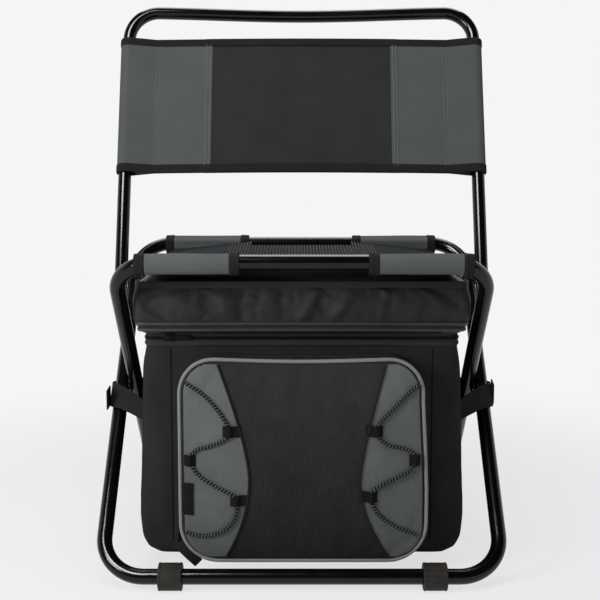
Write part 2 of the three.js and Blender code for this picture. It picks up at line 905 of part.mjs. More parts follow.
const crescentFront = panelFront - fitGap - crescentCloth;
const crescentMiddle = (pocketLow + pocketHigh) / 2 - crescentDrop;
const crescentDisc = new THREE.CylinderGeometry(
  crescentArcRadius,
  crescentArcRadius,
  pocketStandOff,
  discSegments,
).translate(crescentNeck + crescentArcRadius, crescentFront, crescentMiddle);
addPair(
  stool,
  'pocket_crescent',
  overlapOf(prismAlongY(panelShape, crescentFront, crescentCloth), crescentDisc),
  materials.greyCloth,
);

// Elastic cords, laced from the pocket's outer seam through three tabs on each side
const cordRadius = cordDiameter / 2;
const cordY = crescentFront - fitGap - cordRadius;
const cordRoutes = {
  l: [
    [-119, 211], [-98, 198], [-82, 182], [-74.5, 170], [-73, 161], [-77, 153], [-92, 146], [-105, 142],
    [-112, 136], [-113.5, 130], [-110, 121], [-102, 112], [-87, 102], [-74, 96], [-66.5, 91], [-65.5, 85],
    [-66, 75], [-71, 64], [-81, 55], [-95, 50], [-109, 50], [-119, 55],
  ],
  r: [
    [119, 209], [106, 199], [90, 182], [78, 169], [75, 160], [79, 152], [88, 146], [101, 143], [112, 138],
    [114.5, 131], [110, 120], [98, 112], [84, 106], [74, 99], [70, 91], [72.5, 81], [82, 70], [99, 60],
    [119, 52],
  ],
};
const tabPlaces = {
  l: [{ x: -73, z: 161, tail: 1 }, { x: -113.5, z: 130, tail: -1 }, { x: -66, z: 87, tail: 1 }],
  r: [{ x: 75, z: 160, tail: -1 }, { x: 113.5, z: 131, tail: 1 }, { x: 70, z: 90.5, tail: -1 }],
};

function cordTube(route, radius) {
  const points = route.map(([x, z]) => new THREE.Vector3(x, cordY, z));
  return new THREE.ExtrudeGeometry(discShape(radius, cordSides), {
    steps: cordSteps,
    extrudePath: new THREE.CatmullRomCurve3(points, false, 'centripetal'),
    bevelEnabled: false,
  });
}

function cordTab({ x, z, tail }, route) {
  const arch = cordRadius + cordClearance + tabCloth;
  const base = crescentFront - fitGap;
  const stripTop = base - tabStripThickness;
  const outline = Array.from({ length: 2 * arcSegments + 1 }, (_, i) => {
    const angle = Math.PI * i / (2 * arcSegments);
    return new THREE.Vector2(arch * Math.cos(angle), cordY - arch * Math.sin(angle));
  });
  outline.unshift(new THREE.Vector2(arch, base));
  outline.push(new THREE.Vector2(-arch, base));
  const hood = extruded(new THREE.Shape(outline.reverse()), tabHeight).translate(x, 0, z - tabHeight / 2);
  const strip = new THREE.BoxGeometry(tabLength - arch, tabStripThickness, tabHeight)
    .translate(x + tail * (tabLength + arch) / 2, (base + stripTop) / 2, z);
  return cut(join(hood, strip), cordTube(route, cordRadius + cordClearance));
}

for (const side of ['l', 'r']) {
  addPiece(stool, `pocket_cord_${side}`, cordTube(cordRoutes[side], cordRadius), materials.cord);
  tabPlaces[side].forEach((place, i) => {
    addPiece(stool, `cord_tab_${side}${i + 1}`, cordTab(place, cordRoutes[side]), materials.binding);
  });
}

// Pocket zip: a slider on the left run, and the tape's tail at the lower left corner
addPiece(
  stool,
  'pocket_zip_slider',
  zipSlider()
    .rotateY(Math.PI / 2)
    .rotateZ(-Math.PI / 2)
    .translate(-seamHalf - fitGap, gussetBack - pocketSliderBack, pocketSliderHeight),
  materials.steel,
);
const tailReach = seamRadius + fitGap + zipTailWidth / 2;
addPiece(
  stool,
  'pocket_zip_tail',
  prismAlongY(
    roundedRect(zipTailWidth / 2, -zipTailLength / 2, zipTailLength / 2, zipTailCloth),
    -zipTailCloth / 2,
    zipTailCloth,
  )
    .rotateY(-zipTailAngle)
    .translate(
      -seamHalf + seamRadius + tailReach * Math.cos(zipTailAngle),
      gussetFront + pipingDiameter,
      seamLow + seamRadius + tailReach * Math.sin(zipTailAngle),
    ),
  materials.binding,
);

// Side straps: bands round the crossing of the legs, sewn to the sides of the bag
function sideStrap() {
  const middle = pivotHeight - strapDrop;
  const low = middle - strapHeight / 2;
  const bagSide = bagTopWidth / 2 * (1 + flarePerHeight * (bagTopHeight - low));
  const inner = bagSide + fitGap;
  const outer = outerHalf + tubeRadius + fitGap + rivetHeadHeight + strapOutset + strapCloth;
  const legSpread = (pivotHeight - low) * Math.tan(legAngle) + tubeRadius / Math.cos(legAngle);
  const halfDepth = legSpread + fitGap + strapCloth;
  const centre = (inner + outer) / 2;
  const band = extruded(
    roundedFrame((outer - inner) / 2, -halfDepth, halfDepth, strapCornerRadius, strapCloth),
    strapHeight,
  ).translate(centre, 0, low);
  const overlapDepth = strapCloth + fitGap;
  const overlapMiddle = -halfDepth + strapCornerRadius + strapOverlapLength / 2;
  const overlap = new THREE.BoxGeometry(overlapDepth, strapOverlapLength, strapHeight)
    .translate(outer - fitGap + overlapDepth / 2, overlapMiddle, middle);
  return join(band, overlap);
}

addPair(stool, 'side_strap', sideStrap(), materials.binding);

// The origin lies on the floor below the middle of the whole stool
const extent = new THREE.Box3().setFromObject(stool, true);
const middle = extent.getCenter(new THREE.Vector3());
stool.position.set(-middle.x, -middle.y, -extent.min.z);

export default stool;
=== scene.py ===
import json
import math

import bpy
import numpy as np
from mathutils import Matrix, Vector, noise
from mathutils.bvhtree import BVHTree


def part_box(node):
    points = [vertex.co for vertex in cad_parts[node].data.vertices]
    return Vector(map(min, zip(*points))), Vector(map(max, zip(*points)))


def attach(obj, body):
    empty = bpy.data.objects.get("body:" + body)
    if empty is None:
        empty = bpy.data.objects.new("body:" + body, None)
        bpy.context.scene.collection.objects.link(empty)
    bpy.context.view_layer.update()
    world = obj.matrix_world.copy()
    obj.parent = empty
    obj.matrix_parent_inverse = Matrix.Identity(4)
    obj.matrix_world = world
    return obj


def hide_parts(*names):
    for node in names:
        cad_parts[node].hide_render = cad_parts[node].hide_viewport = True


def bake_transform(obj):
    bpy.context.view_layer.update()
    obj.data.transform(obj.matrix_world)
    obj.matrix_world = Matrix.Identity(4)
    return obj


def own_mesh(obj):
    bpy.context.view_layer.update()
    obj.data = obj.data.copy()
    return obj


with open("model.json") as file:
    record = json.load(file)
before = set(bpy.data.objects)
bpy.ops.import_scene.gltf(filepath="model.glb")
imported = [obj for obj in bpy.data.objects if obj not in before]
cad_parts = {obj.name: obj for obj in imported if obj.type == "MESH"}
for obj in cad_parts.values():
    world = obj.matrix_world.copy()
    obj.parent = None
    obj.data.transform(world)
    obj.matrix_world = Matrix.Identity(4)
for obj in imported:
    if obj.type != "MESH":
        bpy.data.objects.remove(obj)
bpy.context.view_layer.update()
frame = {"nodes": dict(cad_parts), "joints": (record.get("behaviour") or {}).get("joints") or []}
joints = {joint["name"]: joint for joint in frame["joints"]}
pivot = Vector(joints["frame_fold"]["pos_m"])
backPivot = Vector(joints["backrest_fold"]["pos_m"])
sides = {"l": -1, "r": 1}
print("frame loaded:", len(frame["nodes"]), "nodes")


# Nodes and materials
class Wire:
    def __init__(self, finish, socket):
        self.finish = finish
        self.socket = socket

    def twin(self, output):  # another output of the same node
        return Wire(self.finish, self.socket.node.outputs[output])

    def maths(self, operation, left, right):
        return self.finish.make("ShaderNodeMath", {"operation": operation}, {0: left, 1: right})

    def __add__(self, other):
        return self.maths("ADD", self, other)

    def __radd__(self, other):
        return self.maths("ADD", other, self)

    def __sub__(self, other):
        return self.maths("SUBTRACT", self, other)

    def __rsub__(self, other):
        return self.maths("SUBTRACT", other, self)

    def __mul__(self, other):
        return self.maths("MULTIPLY", self, other)

    def __gt__(self, other):
        return self.maths("GREATER_THAN", self, other)


class Finish:
    def __init__(self, owner, constants=None):
        self.owner = owner
        owner.use_nodes = True
        self.tree = owner.node_tree
        self.shader = self.tree.nodes.get("Principled BSDF")
        for key, value in (constants or {}).items():
            self.shader.inputs[key].default_value = value

    def make(self, kind, settings=None, inputs=None, output=0):
        node = self.tree.nodes.new(kind)
        for key, value in (settings or {}).items():
            setattr(node, key, value)
        for key, value in (inputs or {}).items():
            if isinstance(value, Wire):
                self.tree.links.new(value.socket, node.inputs[key])
            else:
                node.inputs[key].default_value = value
        return Wire(self, node.outputs[output])

    def feed(self, name, wire):
        self.tree.links.new(wire.socket, self.shader.inputs[name])

    def place(self, kind="Object"):
        return self.make("ShaderNodeTexCoord", output=kind)

    def sine(self, wire):
        return self.make("ShaderNodeMath", {"operation": "SINE"}, {0: wire})

    def noise(self, place, scale, detail):
        return self.make("ShaderNodeTexNoise", None, {"Vector": place, "Scale": scale, "Detail": detail})

    def between(self, factor, dark, light):
        mixed = {"data_type": "RGBA"}
        return self.make("ShaderNodeMix", mixed, {0: factor, 6: dark, 7: light}, 2)

    def bump(self, height, distance, strength):
        inputs = {"Height": height, "Distance": distance, "Strength": strength}
        return self.make("ShaderNodeBump", None, inputs)


def newFinish(name, constants):
    return Finish(bpy.data.materials.new(name), constants)


def shade(colour, factor):
    return (*(min(1.0, part * factor) for part in colour), 1)


plainCloth = {  # what a cloth has where its own look says nothing
    "roughness": 0.92,
    "specular": 0.05,
    "streakScale": (700, 70),
    "streaks": 0.5,
    "cloudScale": 26.0,
    "clouds": 0.9,
    "weave": 0.16,
    "spread": 0.22,
    "weaveRelief": 0.5,
    "streakRelief": 0.6,
    "relief": 0.35,  # in threads
    "bump": 0.5,
}


def clothFinish(name, ownLook):
    look = {**plainCloth, **ownLook}
    finish = newFinish(name, {"Roughness": look["roughness"], "Specular IOR Level": look["specular"]})
    uv = finish.place("UV")
    place = uv.twin("Object")
    across = finish.make("ShaderNodeSeparateXYZ", None, {0: uv})
    along = across.twin("Y")
    turn = math.pi / look["thread"]
    weave = finish.sine(across * turn) * finish.sine(along * turn)
    fine, drawn = look["streakScale"]
    stretched = finish.make("ShaderNodeCombineXYZ", None, {0: across * fine, 1: along * drawn})
    streaks = finish.noise(stretched, 1.0, 2.0)
    clouds = finish.noise(place, look["cloudScale"], 4.0)
    mix = 0.5 + (streaks - 0.5) * look["streaks"] + (clouds - 0.5) * look["clouds"]
    mix = mix + weave * look["weave"]
    if "paintedLight" in look:  # painted light: the colour grows lighter towards the top of the pocket, standing in for light from above
        height = finish.make("ShaderNodeSeparateXYZ", None, {0: place}, "Z")
        mix = mix + (height - look["paintedLightFrom"]) * look["paintedLight"]
    colour = look["colour"]
    spread = look["spread"]
    finish.feed("Base Color", finish.between(mix, shade(colour, 1 - spread), shade(colour, 1 + spread)))
    ridges = weave * look["weaveRelief"] + streaks * look["streakRelief"]
    finish.feed("Normal", finish.bump(ridges, look["thread"] * look["relief"], look["bump"]))
    return finish.owner


clothLooks = {
    "backBlack": {"colour": (0.030, 0.031, 0.031), "thread": 0.0007},
    "bagBlack": {"colour": (0.0235, 0.0235, 0.0235), "thread": 0.0008, "clouds": 1.2},
    # the lid's black is lighter than the bag's: painted light for the lid's top, which the seat shades
    "lidBlackPaintedLight": {"colour": (0.036, 0.036, 0.036), "thread": 0.0008, "specular": 0.35, "roughness": 0.6},
    "flapBlack": {"colour": (0.015, 0.015, 0.015), "thread": 0.0008, "clouds": 1.2, "specular": 0.26,
                  "roughness": 0.58},
    "ridgeBlack": {"colour": (0.030, 0.030, 0.031), "thread": 0.0009, "specular": 0.5, "roughness": 0.45},
    "seamBlack": {"colour": (0.008, 0.008, 0.008), "thread": 0.0009},
    # a lighter black: painted light on the zip tape and the rolled rim, which the lid's overhang shades
    "zipBlackPaintedLight": {"colour": (0.034, 0.034, 0.035), "thread": 0.0009},
    # pocketBlack and crescentGrey carry painted light: their colour grows lighter towards the top
    "pocketBlack": {"colour": (0.025, 0.025, 0.025), "thread": 0.0008, "streaks": 1.2, "spread": 0.3,
                    "paintedLight": 5.0, "paintedLightFrom": 0.135},
    "backGrey": {"colour": (0.086, 0.094, 0.091), "thread": 0.0007, "spread": 0.14},
    "sleeveGrey": {"colour": (0.101, 0.108, 0.106), "thread": 0.0007, "spread": 0.16},
    "crescentGrey": {"colour": (0.104, 0.112, 0.110), "thread": 0.0008, "spread": 0.18, "streaks": 0.8,
                     "paintedLight": 5.0, "paintedLightFrom": 0.125},
    "tapeBlack": {"colour": (0.019, 0.0195, 0.0195), "thread": 0.0011, "bump": 0.9},
    "tabBlack": {"colour": (0.0105, 0.0105, 0.0105), "thread": 0.0011, "bump": 0.9},
    "pipingGrey": {"colour": (0.200, 0.204, 0.204), "thread": 0.0009, "spread": 0.1, "specular": 0.3,
                   "roughness": 0.6},
    "linerSilver": {"colour": (0.55, 0.56, 0.57), "thread": 0.004, "roughness": 0.35, "specular": 0.5},
}
finishes = {name: clothFinish(name, look) for name, look in clothLooks.items()}


def meshFinish():
    look = {"rib": 0.0037, "half": 0.092, "knot": 0.0016, "groove": (0.022, 0.023, 0.025, 1),
            "paintedCrestLight": (0.085, 0.087, 0.090, 1), "plain": (0.026, 0.029, 0.033, 1), "ribShade": 0.4,
            "knotShade": 0.15, "knotRelief": 0.5, "relief": 0.0004, "bump": 0.6}
    finish = newFinish("meshBlack", {"Roughness": 0.9, "Specular IOR Level": 0.05})
    across = finish.make("ShaderNodeSeparateXYZ", None, {0: finish.place()})
    ribs = finish.sine(across * (2 * math.pi / look["rib"]) + math.pi / 2)
    knots = finish.sine(across.twin("Y") * (2 * math.pi / look["knot"]))
    # painted shade and highlight: the ribs' colour runs dark in the grooves and light on the crests and
    # knots, in step with the bump
    ribbed = 0.5 + ribs * look["ribShade"] + knots * look["knotShade"]
    ribbed = finish.between(ribbed, look["groove"], look["paintedCrestLight"])
    aside = finish.make("ShaderNodeMath", {"operation": "ABSOLUTE"}, {0: across})
    finish.feed("Base Color", finish.between(aside > look["half"], ribbed, look["plain"]))
    finish.feed("Normal", finish.bump(ribs + knots * look["knotRelief"], look["relief"], look["bump"]))
    return finish.owner


def paintFinish():
    look = {"dark": (0.0012, 0.0012, 0.0013, 1), "light": (0.003, 0.003, 0.0032, 1), "peelScale": 420,
            "peel": 0.00006, "bump": 0.5, "wearScale": 35.0, "gloss": 0.1, "worn": 0.1}
    finish = newFinish("blackPaint", {"Specular IOR Level": 0.30})
    place = finish.place()
    peel = finish.noise(place, look["peelScale"], 2.0)
    wear = finish.noise(place, look["wearScale"], 5.0)
    finish.feed("Base Color", finish.between(wear, look["dark"], look["light"]))
    finish.feed("Roughness", look["gloss"] + wear * look["worn"])
    finish.feed("Normal", finish.bump(peel, look["peel"], look["bump"]))
    return finish.owner


def rubberFinish():
    look = {"dark": (0.004, 0.0035, 0.003, 1), "scuffed": (0.040, 0.034, 0.029, 1), "grainScale": 900.0,
            "grain": 0.0001, "bump": 0.6, "scuffLong": 45, "scuffFine": 420, "gloss": 0.5, "worn": 0.3}
    finish = newFinish("footRubber", {"Specular IOR Level": 0.3})
    place = finish.place()
    grain = finish.noise(place, look["grainScale"], 3.0)
    apart = finish.make("ShaderNodeSeparateXYZ", None, {0: place})
    drawn = {0: apart * look["scuffLong"], 1: apart.twin("Y") * look["scuffFine"],
             2: apart.twin("Z") * look["scuffFine"]}
    scuffs = finish.noise(finish.make("ShaderNodeCombineXYZ", None, drawn), 1.0, 5.0)
    finish.feed("Base Color", finish.between(scuffs, look["dark"], look["scuffed"]))
    finish.feed("Roughness", look["gloss"] + scuffs * look["worn"])
    finish.feed("Normal", finish.bump(grain, look["grain"], look["bump"]))
    return finish.owner


def grainFinish(name, constants, look):  # an even stuff with a fine grain
    finish = newFinish(name, constants)
    grain = finish.noise(finish.place(), look["scale"], look["detail"])
    finish.feed("Base Color", finish.between(grain, look["dark"], look["light"]))
    if "gloss" in look:
        finish.feed("Roughness", look["gloss"] + grain * look["worn"])
    if "relief" in look:
        finish.feed("Normal", finish.bump(grain, look["relief"], look["bump"]))
    return finish.owner


def metalFinish(name, colour, gloss):
    look = {"scale": 220.0, "detail": 4.0, "dark": shade(colour, 0.8), "light": shade(colour, 1.15),
            "gloss": gloss, "worn": 0.2}
    return grainFinish(name, {"Metallic": 1.0}, look)


def nylonFinish():
    look = {"scale": 700.0, "detail": 3.0, "dark": (0.012, 0.012, 0.012, 1),
            "light": (0.022, 0.022, 0.022, 1), "gloss": 0.45, "worn": 0.2, "relief": 0.00005, "bump": 0.5}
    return grainFinish("blackNylon", {"Specular IOR Level": 0.35}, look)


def threadFinish(name, colour):
    look = {"scale": 2600.0, "detail": 2.0, "dark": shade(colour, 0.75), "light": shade(colour, 1.25)}
    return grainFinish(name, {"Roughness": 0.7, "Specular IOR Level": 0.25}, look)


def cordFinish():
    look = {"strand": 0.0034, "lean": 0.0125, "fleckLevel": 0.45, "fleck": 0.8, "relief": 0.0004, "bump": 0.9,
            "dark": (0.009, 0.009, 0.0095, 1), "light": (0.12, 0.13, 0.13, 1)}
    finish = newFinish("laceCord", {"Roughness": 0.85, "Specular IOR Level": 0.15})
    across = finish.make("ShaderNodeSeparateXYZ", None, {0: finish.place("UV")})
    along = across.twin("Y")
    turn = 2 * math.pi
    leftStrand = finish.sine(along * (turn / look["strand"]) + across * (turn / look["lean"]))
    rightStrand = finish.sine(along * (turn / look["strand"]) - across * (turn / look["lean"]))
    fleck = leftStrand > look["fleckLevel"]
    finish.feed("Base Color", finish.between(fleck * look["fleck"], look["dark"], look["light"]))
    finish.feed("Normal", finish.bump(leftStrand * rightStrand, look["relief"], look["bump"]))
    return finish.owner


metals = {"rivetSteel": ((0.42, 0.42, 0.43), 0.28), "zipMetal": ((0.013, 0.013, 0.013), 0.4)}
threads = {"blueThread": (0.16, 0.20, 0.23), "greyThread": (0.24, 0.25, 0.25),
           "blackThread": (0.035, 0.035, 0.036)}
finishes["meshBlack"] = meshFinish()
finishes["blackPaint"] = paintFinish()
finishes["footRubber"] = rubberFinish()
for name, (colour, gloss) in metals.items():
    finishes[name] = metalFinish(name, colour, gloss)
finishes["blackNylon"] = nylonFinish()
finishes["laceCord"] = cordFinish()
for name, colour in threads.items():
    finishes[name] = threadFinish(name, colour)
print("finishes made:", len(finishes))


# Modelling helpers
def pick(piece):  # the only selected object, and the active one
    bpy.ops.object.select_all(action="DESELECT")
    piece.select_set(True)
    bpy.context.view_layer.objects.active = piece


def applyModifier(piece, kind, **settings):
    pick(piece)
    modifier = piece.modifiers.new(kind.lower(), kind)
    for key, value in settings.items():
        setattr(modifier, key, value)
    bpy.ops.object.modifier_apply(modifier=modifier.name)


def thicken(piece, thickness, offset=-1):
    applyModifier(piece, "SOLIDIFY", thickness=thickness, offset=offset)


def refine(piece):
    applyModifier(piece, "SUBSURF", levels=1, render_levels=1)


def pointsOf(piece):
    flat = np.empty(len(piece.data.vertices) * 3)
    piece.data.vertices.foreach_get("co", flat)
    return flat.reshape(-1, 3)


def setPoints(piece, points):
    piece.data.vertices.foreach_set("co", np.asarray(points, float).ravel())
    piece.data.update()


def selectWhere(piece, kind, test):  # faces, edges or vertices by a test of their middle and normal
    pick(piece)
    bpy.ops.object.mode_set(mode="EDIT")
    bpy.ops.mesh.select_mode(type=kind)
    bpy.ops.mesh.select_all(action="DESELECT")
    bpy.ops.object.mode_set(mode="OBJECT")
    mesh = piece.data
    if kind == "FACE":
        for face in mesh.polygons:
            face.select = test(face.center, face.normal)
    elif kind == "EDGE":
        for edge in mesh.edges:
            ends = [mesh.vertices[index].co for index in edge.vertices]
            edge.select = test(ends[0], ends[1])
    else:
        for point in mesh.vertices:
            point.select = test(point.co)
    bpy.ops.object.mode_set(mode="EDIT")


def leaveEdit():
    bpy.ops.object.mode_set(mode="OBJECT")


def cutAway(piece, test):
    selectWhere(piece, "FACE", test)
    bpy.ops.mesh.delete(type="FACE")
    leaveEdit()


def smooth(piece, degrees=40):
    pick(piece)
    bpy.ops.object.shade_smooth_by_angle(angle=math.radians(degrees))


def editAll(piece):
    pick(piece)
    bpy.ops.object.mode_set(mode="EDIT")
    bpy.ops.mesh.select_all(action="SELECT")


def outward(piece):  # turn the faces outwards
    editAll(piece)
    bpy.ops.mesh.normals_make_consistent(inside=False)
    leaveEdit()
    return piece


def closeUp(piece):  # merge doubles and turn the faces outwards
    editAll(piece)
    bpy.ops.mesh.remove_doubles(threshold=1e-6)
    bpy.ops.mesh.dissolve_degenerate(threshold=1e-7)
    leaveEdit()
    outward(piece)


def settle(piece, finish, body, slot, *nodes):  # finish, body, slot (not used) and the solids it stands for
    piece.data.materials.clear()
    piece.data.materials.append(finishes[finish])
    if body:
        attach(piece, body)
    if nodes:
        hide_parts(*nodes)
    return piece


def boxAt(name, low, high):
    bpy.ops.mesh.primitive_cube_add(size=1)
    piece = bpy.context.object
    piece.name = name
    low, high = Vector(low), Vector(high)
    piece.scale = high - low
    piece.location = (low + high) / 2
    bpy.ops.object.transform_apply(location=True, rotation=True, scale=True)
    return piece


def bevelEdges(piece, test, width, segments):
    selectWhere(piece, "EDGE", test)
    bpy.ops.mesh.bevel(offset=width, segments=segments, affect="EDGES")
    leaveEdit()


def turned(name, profile, place, turns=48):  # a profile of (along X, radius) pairs, spun about X
    bpy.ops.mesh.primitive_circle_add(vertices=len(profile), radius=1)
    piece = bpy.context.object
    piece.name = name
    setPoints(piece, [(along, 0, radius) for along, radius in profile])
    editAll(piece)
    bpy.ops.mesh.spin(steps=turns, angle=2 * math.pi, center=(0, 0, 0), axis=(1, 0, 0))
    leaveEdit()
    closeUp(piece)
    setPoints(piece, pointsOf(piece) + np.array(place))
    smooth(piece, 30)
    return piece


def roundedRun(corners, radius, steps):  # straight runs joined by arcs
    run = [Vector(corners[0])]
    for before, corner, after in zip(corners, corners[1:], corners[2:]):
        back = (Vector(before) - Vector(corner)).normalized()
        ahead = (Vector(after) - Vector(corner)).normalized()
        half = back.angle(ahead) / 2
        middle = Vector(corner) + (back + ahead).normalized() * radius / math.sin(half)
        start = Vector(corner) + back * radius / math.tan(half) - middle
        end = Vector(corner) + ahead * radius / math.tan(half) - middle
        sweep = start.angle(end)
        for step in range(steps + 1):
            share = step / steps
            run.append(middle + start * math.sin((1 - share) * sweep) / math.sin(sweep)
                       + end * math.sin(share * sweep) / math.sin(sweep))
    run.append(Vector(corners[-1]))
    return run


def tubeAlong(name, path, radius, closed=False):
    bpy.ops.curve.primitive_bezier_curve_add()
    tube = bpy.context.object
    tube.name = name
    tube.data.splines.clear()
    spline = tube.data.splines.new("POLY")
    spline.points.add(len(path) - 1)
    for point, place in zip(spline.points, path):
        point.co = (*place, 1)
    spline.use_cyclic_u = closed
    tube.data.dimensions = "3D"
    tube.data.bevel_depth = radius
    tube.data.bevel_resolution = 12
    tube.data.use_fill_caps = True
    bpy.ops.object.convert(target="MESH")
    tube = bpy.context.object
    closeUp(tube)
    smooth(tube)
    return tube


def meshPiece(name, points, faces):
    mesh = bpy.data.meshes.new(name)
    mesh.from_pydata(points, [], faces)
    piece = bpy.data.objects.new(name, mesh)
    bpy.context.scene.collection.objects.link(piece)
    return piece


def loft(name, rings, around=True, along=False, ends=False):  # cloth skinned over rings, with UVs in metres
    grid = np.array(rings, float)
    rows, columns = grid.shape[:2]
    stepsAround = np.linalg.norm(np.diff(grid, axis=1, append=grid[:, :1]), axis=2).mean(0)
    stepsAlong = np.linalg.norm(np.diff(grid, axis=0, append=grid[:1]), axis=2).mean(1)
    uAt = np.concatenate([[0], np.cumsum(stepsAround)])
    vAt = np.concatenate([[0], np.cumsum(stepsAlong)])
    faces = []
    uvs = []
    for row in range(rows if along else rows - 1):
        nextRow = (row + 1) % rows
        for column in range(columns if around else columns - 1):
            nextColumn = (column + 1) % columns
            faces.append((row * columns + column, row * columns + nextColumn,
                          nextRow * columns + nextColumn, nextRow * columns + column))
            uvs += [(uAt[column], vAt[row]), (uAt[column + 1], vAt[row]),
                    (uAt[column + 1], vAt[row + 1]), (uAt[column], vAt[row + 1])]
    if ends:
        faces += [tuple(range(columns))[::-1], tuple(range((rows - 1) * columns, rows * columns))]
        uvs += [(uAt[column], vAt[0]) for column in range(columns)][::-1]
        uvs += [(uAt[column], vAt[rows - 1]) for column in range(columns)]
    piece = meshPiece(name, grid.reshape(-1, 3).tolist(), faces)
    piece.data.uv_layers.new(name="weave").data.foreach_set("uv", np.array(uvs, float).ravel())
    return piece


def webbing(piece, thickness, soft):
    thicken(piece, thickness, 0)
    outward(piece)
    applyModifier(piece, "BEVEL", width=soft, segments=2)
    smooth(piece, 50)


def boxUv(piece):  # weave laid flat on each side of a boxy cloth piece
    mesh = piece.data
    layer = mesh.uv_layers.get("weave") or mesh.uv_layers.new(name="weave")
    points = pointsOf(piece)
    corner = np.empty(len(mesh.loops), int)
    mesh.loops.foreach_get("vertex_index", corner)
    normals = np.empty(len(mesh.polygons) * 3)
    mesh.polygons.foreach_get("normal", normals)
    counts = np.empty(len(mesh.polygons), int)
    mesh.polygons.foreach_get("loop_total", counts)
    facing = np.repeat(np.abs(normals.reshape(-1, 3)).argmax(1), counts)
    place = points[corner]
    first = np.where(facing == 0, place[:, 1], place[:, 0])
    second = np.where(facing == 2, place[:, 1], place[:, 2])
    layer.data.foreach_set("uv", np.column_stack([first, second]).ravel())


def inflate(piece, settings, pin):  # swell the cloth by simulation, then hold every point near its start
    start = pointsOf(piece)
    group = piece.vertex_groups.new(name="pin")
    for index, weight in enumerate(pin):
        group.add([index], float(weight), "REPLACE")
    pick(piece)
    modifier = piece.modifiers.new("cloth", "CLOTH")
    cloth = modifier.settings
    cloth.quality = 6
    cloth.mass = 0.25
    cloth.tension_stiffness = settings["tension"]
    cloth.compression_stiffness = settings["tension"]
    cloth.shear_stiffness = 6
    cloth.bending_stiffness = settings["bending"]
    cloth.air_damping = 4
    cloth.vertex_group_mass = "pin"
    cloth.use_pressure = True
    cloth.uniform_pressure_force = settings["pressure"]
    cloth.shrink_min = -settings["slack"]
    cloth.effector_weights.gravity = 0.0
    modifier.collision_settings.use_collision = False
    modifier.point_cache.frame_start = 1
    modifier.point_cache.frame_end = settings["frames"]
    for step in range(1, settings["frames"] + 1):
        bpy.context.scene.frame_set(step)
    bpy.ops.object.modifier_apply(modifier=modifier.name)
    bpy.context.scene.frame_set(1)
    piece.vertex_groups.clear()
    move = pointsOf(piece) - start
    far = np.linalg.norm(move, axis=1, keepdims=True)
    held = move * np.minimum(1.0, settings["cap"] / np.maximum(far, 1e-9))
    setPoints(piece, start + held)


def copiesOf(name, template, places):  # one mesh of many copies of a small piece
    points = np.column_stack([pointsOf(template), np.ones(len(template.data.vertices))])
    faces = [tuple(face.vertices) for face in template.data.polygons]
    allPoints = []
    allFaces = []
    for place in places:
        offset = len(allPoints)
        allPoints += (points @ np.array(place).T)[:, :3].tolist()
        allFaces += [tuple(index + offset for index in face) for face in faces]
    piece = meshPiece(name, allPoints, allFaces)
    smooth(piece, 60)
    return piece


def alongPath(path, pitch):  # points and directions at an even pitch
    points = np.array([tuple(point) for point in path])
    steps = np.linalg.norm(np.diff(points, axis=0), axis=1)
    at = np.concatenate([[0], np.cumsum(steps)])
    count = max(1, int(at[-1] / pitch))
    found = []
    for index in range(count):
        distance = (index + 0.5) * at[-1] / count
        segment = min(int(np.searchsorted(at, distance) - 1), len(steps) - 1)
        share = (distance - at[segment]) / max(steps[segment], 1e-9)
        place = points[segment] + share * (points[segment + 1] - points[segment])
        found.append((Vector(place), Vector(points[segment + 1] - points[segment]).normalized()))
    return found


def placing(place, ahead, out):  # a matrix with X ahead and Z out of the surface
    side = out.cross(ahead).normalized()
    up = ahead.cross(side).normalized()
    turn = Matrix((ahead, side, up)).transposed().to_4x4()
    return Matrix.Translation(place) @ turn


stitch = {"length": 0.0029, "pitch": 0.0038, "width": 0.00042, "sink": 0.00005}


def stitchTemplate():
    bpy.ops.mesh.primitive_uv_sphere_add(segments=6, ring_count=5, radius=0.5)
    template = bpy.context.object
    bpy.ops.transform.resize(value=(stitch["length"], stitch["width"] * 2, stitch["width"] * 2))
    bpy.ops.object.transform_apply(location=False, rotation=False, scale=True)
    return template


def stitches(name, paths, out, finish, body, slot):
    template = stitchTemplate()
    places = []
    for path in paths:
        for place, ahead in alongPath(path, stitch["pitch"]):
            normal = out(place) if callable(out) else Vector(out)
            places.append(placing(place - normal * stitch["sink"], ahead, normal))
    piece = copiesOf(name, template, places)
    bpy.data.objects.remove(template)
    return settle(piece, finish, body, slot)


def circleRing(middle, first, second, radius, count):
    turns = [2 * math.pi * index / count for index in range(count)]
    return [middle + first * (radius * math.cos(turn)) + second * (radius * math.sin(turn)) for turn in turns]


def cordAlong(name, path, radius, count=12, closed=False):  # a round soft cord with UVs along it
    rings = []
    last = len(path) - 1
    guide = None
    for index, point in enumerate(path):
        before = path[index - 1] if index or closed else point
        after = path[(index + 1) % len(path)] if index < last or closed else point
        ahead = (after - before).normalized()
        if guide is None:
            guide = ahead.orthogonal().normalized()
        else:
            guide = (guide - ahead * guide.dot(ahead)).normalized()
        rings.append(circleRing(point, guide, ahead.cross(guide), radius, count))
    piece = loft(name, rings, along=closed, ends=not closed)
    outward(piece)
    smooth(piece, 60)
    return piece


def spline(points, steps):  # a smooth run through given points
    padded = [points[0]] + list(points) + [points[-1]]
    run = []
    for a, b, c, d in zip(padded, padded[1:], padded[2:], padded[3:]):
        for step in range(steps):
            t = step / steps
            run.append(0.5 * ((2 * b) + (c - a) * t + (2 * a - 5 * b + 4 * c - d) * t * t
                              + (3 * b - a - 3 * c + d) * t ** 3))
    run.append(points[-1])
    return run


def wobble(x, y, z, size, depth):  # smooth unevenness, the same at each run
    return depth * noise.noise(Vector((x, y, z)) / size)


